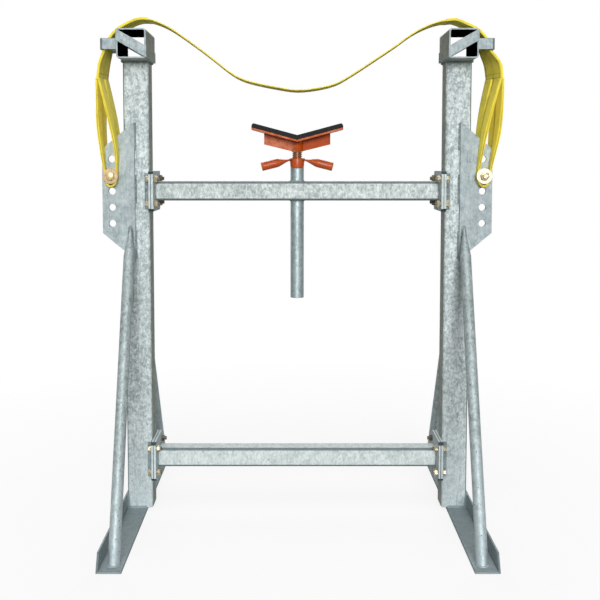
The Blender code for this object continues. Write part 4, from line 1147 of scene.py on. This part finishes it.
# %% One flange bolt
FLANGE_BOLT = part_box("right_upper_flange_bolt_1")
BOLT_RADIUS, BOLT_FLATS = 0.006, 0.019
BOLT_HEAD, BOLT_NUT, BOLT_WASHER, BOLT_END = 0.0075, 0.0100, 0.0025, 0.006
WASHER_RADIUS = 0.012
BOLT_PITCH = 0.00175
bolt_middle = (FLANGE_BOLT[0].x + FLANGE_BOLT[1].x) / 2
head_end = FLANGE_BOLT[1].x - bolt_middle
tail_end = FLANGE_BOLT[0].x - bolt_middle + 0.003
along_x = Matrix.Rotation(math.pi / 2, 4, "Y")

bm = bmesh.new()
under_head = head_end - BOLT_HEAD
nut_tip = tail_end + BOLT_END
under_nut = nut_tip + BOLT_NUT
hexagon(bm, BOLT_FLATS, under_head, head_end, along_x)
washer(bm, WASHER_RADIUS, BOLT_RADIUS * 0.98, under_head - BOLT_WASHER, under_head, along_x)
washer(bm, WASHER_RADIUS, BOLT_RADIUS * 0.98, under_nut, under_nut + BOLT_WASHER, along_x)
hexagon(bm, BOLT_FLATS, under_nut, nut_tip, along_x, both=True)
threaded(bm, BOLT_RADIUS, under_head, tail_end, along_x, BOLT_PITCH, under_nut + 0.002)
bolt_shape = pattern("Flange bolt pattern", bm)
print("bolt pattern faces", len(bolt_shape.data.polygons))

# %% Copies of the flange bolt
tree, given = new_tree("Bolts on points", {"Bolt": "Object", "Finish": "Material", "Seed": "Int"})
shape = add(tree, "GeometryNodeObjectInfo", {"Object": given["Bolt"]})
turn = add(tree, "GeometryNodeInputNamedAttribute", {"Name": "turn"}, data_type="FLOAT")
roll = add(tree, "FunctionNodeRandomValue", {2: 0.0, 3: math.tau, "Seed": given["Seed"]}, data_type="FLOAT")
spin = add(tree, "ShaderNodeCombineXYZ", {0: roll.outputs[1], 2: turn})
facts = {"Points": given["Geometry"], "Instance": shape.outputs["Geometry"], "Rotation": spin}
end_tree(tree, add(tree, "GeometryNodeInstanceOnPoints", facts), given["Finish"])

places, turns_round, bolt_nodes = [], [], []
for node in sorted(name for name in NODES if "_flange_bolt_" in name):
    low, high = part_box(node)
    places.append(tuple((low + high) / 2))
    turns_round.append(math.pi if low.x < 0 else 0.0)
    bolt_nodes.append(node)
values = {"Bolt": bolt_shape, "Finish": weathered_gold_and_highlight, "Seed": 11}
bolts = run_tree("flange_bolts", tree, values, places, [], {"turn": turns_round})
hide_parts(*bolt_nodes)
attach(bolts, "frame")
bpy.data.objects.remove(bolt_shape)
print(len(places), "flange bolts")

# %% [markdown]
# ## Sling bolts
#
# One M16 bolt on each side goes through the eyes and the drilled plate, with a wide washer at each
# end. On the left its head is in front, and on the right its nut, as in the photograph.

# %% Sling bolts
LARGE_FLATS, LARGE_RADIUS, LARGE_HEAD, LARGE_PITCH = 0.024, 0.008, 0.010, 0.002
LARGE_ROLL = 0.3
along_y = Matrix.Rotation(-math.pi / 2, 4, "X")
washer_finish = {"left": darker_washer_zinc, "right": pale_zinc}
bolt_finish = {"left": gold_zinc, "right": weathered_gold_and_highlight}
for side in SIDES:
    bolt, nut = f"{side}_sling_bolt", f"{side}_sling_bolt_nut"
    bolt_low, bolt_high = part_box(bolt)
    nut_low, nut_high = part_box(nut)
    centre = (nut_low + nut_high) / 2
    place = Matrix.Translation((centre.x, 0, centre.z)) @ along_y @ Matrix.Rotation(LARGE_ROLL, 4, "Z")
    nut_in_front = centre.y < SLING_MIDDLE
    tail, head = (bolt_low.y, bolt_high.y) if nut_in_front else (bolt_high.y, bolt_low.y)
    seat = head - LARGE_HEAD if nut_in_front else head + LARGE_HEAD
    inner, outer = (nut_high.y, nut_low.y) if nut_in_front else (nut_low.y, nut_high.y)
    bm = bmesh.new()
    hexagon(bm, LARGE_FLATS, seat, head, place)
    threaded(bm, LARGE_RADIUS, seat, tail, place, LARGE_PITCH, inner)
    to_object(f"{side}_sling_bolt_forged", bm, [bolt_finish[side]], "frame", (bolt,))
    bm = bmesh.new()
    hexagon(bm, LARGE_FLATS, inner, outer, place, both=True)
    to_object(f"{side}_sling_nut_forged", bm, [bolt_finish[side]], "frame", (nut,))
    for where in ("front", "rear"):
        node = f"{side}_sling_bolt_{where}_washer"
        low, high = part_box(node)
        bm = bmesh.new()
        washer(bm, (high.x - low.x) / 2, LARGE_RADIUS * 1.01, low.y, high.y, place, 64)
        piece = f"{side}_sling_{where}_washer_punched"
        to_object(piece, bm, [washer_finish[side]], "frame", (node,))
print("sling bolts at height", round(BOLT_HEIGHT, 4))

# %% [markdown]
# ## Weld beads
#
# A bead is a row of overlapping ripples of metal along a joint. The joints are drawn as mesh lines,
# and a Geometry Nodes tree turns them to curves, spaces points along them, lets the radius ripple
# and sweeps a small circle. Half of each bead is inside the steel, and what shows is the fillet.

# %% Weld tree
BEAD_STEP = 0.0017
# The radius of a bead is this share of the one asked for, plus its ripple and lumps.
BEAD_BASE, BEAD_RIPPLE = 0.88, 0.11
# How far the ripple turns at each step in radians, and the size and weight of the lumps.
RIPPLE_TURN, LUMP, LUMP_WEIGHT = 2.2, 0.008, 2.5
tree, given = new_tree("Weld beads along lines", {"Step": "Float", "Ripple": "Float", "Finish": "Material"})
lines = add(tree, "GeometryNodeMeshToCurve", {0: given["Geometry"]})
spaced = add(tree, "GeometryNodeResampleCurve", {"Curve": lines, "Length": given["Step"]}, mode="LENGTH")
bead = add(tree, "GeometryNodeInputNamedAttribute", {"Name": "bead"}, data_type="FLOAT")
wave = maths(tree, "SINE", maths(tree, "MULTIPLY", add(tree, "GeometryNodeInputIndex"), RIPPLE_TURN))
lump = add(tree, "ShaderNodeTexNoise", {"Scale": 1 / LUMP, "Detail": 1.0})
wave = maths(tree, "MULTIPLY_ADD", lump, LUMP_WEIGHT, wave)
wave = maths(tree, "MULTIPLY_ADD", wave, given["Ripple"], BEAD_BASE)
radius = maths(tree, "MULTIPLY", wave, bead)
ring = add(tree, "GeometryNodeCurvePrimitiveCircle", {"Resolution": 8, "Radius": 1.0}, mode="RADIUS")
facts = {"Curve": spaced, "Profile Curve": ring, "Scale": radius, "Fill Caps": True}
end_tree(tree, add(tree, "GeometryNodeCurveToMesh", facts), given["Finish"])
weld_tree = tree


class Joints:
    """Lines to weld along, each with the radius of its bead, on both sides of X 0 unless told not to."""

    def __init__(self):
        self.verts, self.edges, self.beads = [], [], []

    def line(self, points, radius, closed=False, mirror=True):
        for sign in (1, -1) if mirror else (1,):
            first = len(self.verts)
            self.verts += [(sign * x, y, z) for x, y, z in points]
            last = len(self.verts) - 1
            self.edges += [(i, i + 1) for i in range(first, last)]
            if closed:
                self.edges.append((last, first))
            self.beads += [radius] * len(points)

    def rise(self, x, y, low, high, radius):
        self.line([(x, y, low), (x, y, high)], radius)

    def weld(self, name, finish, body):
        values = {"Step": BEAD_STEP, "Ripple": BEAD_RIPPLE, "Finish": finish}
        obj = run_tree(name, weld_tree, values, self.verts, self.edges, {"bead": self.beads})
        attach(obj, body)
        print(name, len(self.verts), "points,", len(obj.data.polygons), "faces")


def ring_points(centre, reach_x, reach_y, steps=28):
    """Points of a level oval."""
    x, y, z = centre
    turns = [math.tau * i / steps for i in range(steps)]
    return [(x + reach_x * math.cos(turn), y + reach_y * math.sin(turn), z) for turn in turns]


print("beads are drawn in steps of", BEAD_STEP * 1000, "mm")

# %% Welds of the frame
# The radius of each kind of bead.
BEAD = {
    "plate": 0.0050,
    "plate edge": 0.0040,
    "post foot": 0.0054,
    "sole": 0.0032,
    "head": 0.0050,
    "flange root and shadow": 0.0085,
    "flange": 0.0030,
    "brace": 0.0030,
    "brace tip": 0.0032,
    "bar": 0.0030,
    "jack": 0.0028,
    "stop bar": 0.0018,
    "keeper": 0.0022,
    "gusset": 0.0022,
    "handle": 0.0016,
}
# The plate is stitch-welded: where each stitch starts and ends, as shares of its height.
PLATE_STITCHES = ((0.01, 0.21), (0.41, 0.62), (0.80, 0.995))
BRACE_DIAMETER = 0.0337
BRACE_FOOT_OUT, BRACE_TIP_OUT = 0.005, 0.0185
BAR_CORNER = 0.005
# The bead round a post's foot is drawn a little above the upper face of the foot's level leg.
SOLE_RISE = 0.0066
# The bead on the plate's outer edge stops this far from the plate's ends.
PLATE_CLEAR = 0.06
plate_low, plate_high = PLATE
post_low, post_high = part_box("right_upright")
foot_low, foot_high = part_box("right_foot")
frame_joints = Joints()
tall = plate_high.z - plate_low.z
for start, end in PLATE_STITCHES:
    low, high = plate_low.z + tall * start, plate_low.z + tall * end
    frame_joints.rise(plate_low.x, plate_high.y, low, high, BEAD["plate"])
low, high = plate_low.z + PLATE_CLEAR, plate_high.z - PLATE_CLEAR
frame_joints.rise(post_high.x, plate_high.y, low, high, BEAD["plate edge"])
sole = foot_low.z + SOLE_RISE
for y in (post_low.y, post_high.y):
    run = [(foot_low.x + 0.002, y, sole), (post_high.x, y, sole), (post_high.x, y, foot_high.z - 0.002)]
    frame_joints.line(run, BEAD["post foot"])
run = [(post_high.x, post_low.y, foot_high.z), (post_high.x, post_high.y, foot_high.z)]
frame_joints.line(run, BEAD["sole"])
corners = [(post_low.x, post_low.y), (post_high.x, post_low.y)]
corners += [(post_high.x, post_high.y), (post_low.x, post_high.y)]
frame_joints.line([(x, y, post_high.z) for x, y in corners], BEAD["head"], closed=True)
# The wide bead at the root of each flange is partly a weld and partly painted shade: it stands in for the
# flange's shadow on the post.
for name in ("upper", "lower"):
    low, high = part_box(f"right_{name}_flange")
    x = post_low.x + 0.0065
    frame_joints.rise(x, post_low.y, low.z + 0.006, high.z - 0.006, BEAD["flange root and shadow"])

# Braces: a ring where the tube stands on the foot, and a hoop round its pinched tip.
hoop = [(-0.0070, -0.034), (-0.0050, -0.014), (-0.0035, 0.0), (0, 0.0040)]
hoop += [(0.0035, 0.0), (0.0050, -0.014), (0.0070, -0.034)]
for name, away in (("front", -1), ("rear", 1)):
    low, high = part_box(f"right_{name}_brace")
    in_front = away < 0
    reach_x = BRACE_DIAMETER / 2
    reach_y = reach_x / math.cos(math.atan2(high.y - low.y, high.z - low.z))
    foot_y = (low.y if in_front else high.y) - away * reach_y
    foot_x = POST_OUT + (BRACE_FOOT_OUT if in_front else 0.0)
    frame_joints.line(ring_points((foot_x, foot_y, sole), reach_x, reach_y), BEAD["brace"], closed=True)
    tip_x = POST_OUT + (BRACE_TIP_OUT if in_front else 0.0)
    tip_y = (plate_low.y if in_front else post_high.y) + away * 0.0006
    frame_joints.line([(tip_x + x, tip_y, high.z - 0.002 + z) for x, z in hoop], BEAD["brace tip"])

# Bars: flanges on the uprights, end plates round the bars, and the jack's tube through the top bar.
for level in ("upper", "lower"):
    bar_low, bar_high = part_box(f"{level}_crossbar")
    flange_low, flange_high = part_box(f"right_{level}_flange")
    end_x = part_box(f"{level}_crossbar_right_plate")[0].x
    for y in (post_low.y, post_high.y):
        frame_joints.rise(flange_high.x, y, flange_low.z + 0.004, flange_high.z - 0.004, BEAD["flange"])
    middle_z = (bar_low.z + bar_high.z) / 2
    corners = [(bar_high.y, bar_high.z), (bar_low.y, bar_high.z)]
    corners += [(bar_low.y, bar_low.z), (bar_high.y, bar_low.z)]
    loop = []
    for quarter, (y, z) in enumerate(corners):
        y -= math.copysign(BAR_CORNER, y)
        z -= math.copysign(BAR_CORNER, z - middle_z)
        for k in range(4):
            angle = quarter * math.pi / 2 + k * math.pi / 6
            loop.append((end_x, y + BAR_CORNER * math.cos(angle), z + BAR_CORNER * math.sin(angle)))
    frame_joints.line(loop, BEAD["bar"], closed=True)
jack_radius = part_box("jack_tube")[1].x
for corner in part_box("upper_crossbar"):
    ring = ring_points((0, 0, corner.z), jack_radius, jack_radius)
    frame_joints.line(ring, BEAD["jack"], closed=True, mirror=False)

# Heads: the ends of the stop bars and the roots of the keeper.
for name in ("front_stop_bar", "rear_stop_bar"):
    low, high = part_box(f"right_{name}")
    y = high.y if low.y < 0 else low.y
    frame_joints.rise(low.x + 0.0012, y, low.z + 0.005, low.z + 0.032, BEAD["stop bar"])
    frame_joints.rise(high.x + 0.0002, y, high.z - 0.031, high.z - 0.005, BEAD["stop bar"])
for y in (KEEPER[0].y, KEEPER[1].y):
    frame_joints.rise(HEAD[1].x, y, KEEPER[0].z + 0.002, KEEPER[1].z - 0.002, BEAD["keeper"])
frame_joints.weld("frame_weld_beads", weld_zinc, "frame")

# %% Welds of the V head and the wing nut
V_SLOPE = math.tan(math.radians(15))
V_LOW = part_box("v_plate")[0].z
COLLAR_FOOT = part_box("v_support")[0].z
COLLAR_RADIUS, GUSSET_HALF, GUSSET_REACH = 0.0175, 0.004, 0.104
head_joints = Joints()
for y in (-GUSSET_HALF - 0.0003, GUSSET_HALF + 0.0003):
    head_joints.rise(COLLAR_RADIUS - 0.0004, y, COLLAR_FOOT + 0.004, V_LOW + 0.002, BEAD["gusset"])
    under = [(x, y, V_LOW + x * V_SLOPE) for x in (0.018, 0.060, GUSSET_REACH - 0.002)]
    head_joints.line(under, BEAD["gusset"])
ring = ring_points((0, 0, 0), COLLAR_RADIUS, COLLAR_RADIUS, 40)
collar = [(x, y, V_LOW - 0.0005 + abs(x) * V_SLOPE) for x, y, _z in ring]
head_joints.line(collar, BEAD["gusset"], closed=True, mirror=False)
head_joints.weld("v_head_weld_beads", head_enamel, "cradle")

nut_joints = Joints()
oval = [(0.0222, y, HANDLE_LEVEL - 0.0008 + z) for y, z, _zero in ring_points((0, 0, 0), 0.0165, 0.0036, 24)]
nut_joints.line(oval, BEAD["handle"], closed=True)
nut_joints.weld("wing_nut_weld_beads", nut_enamel, "nut")
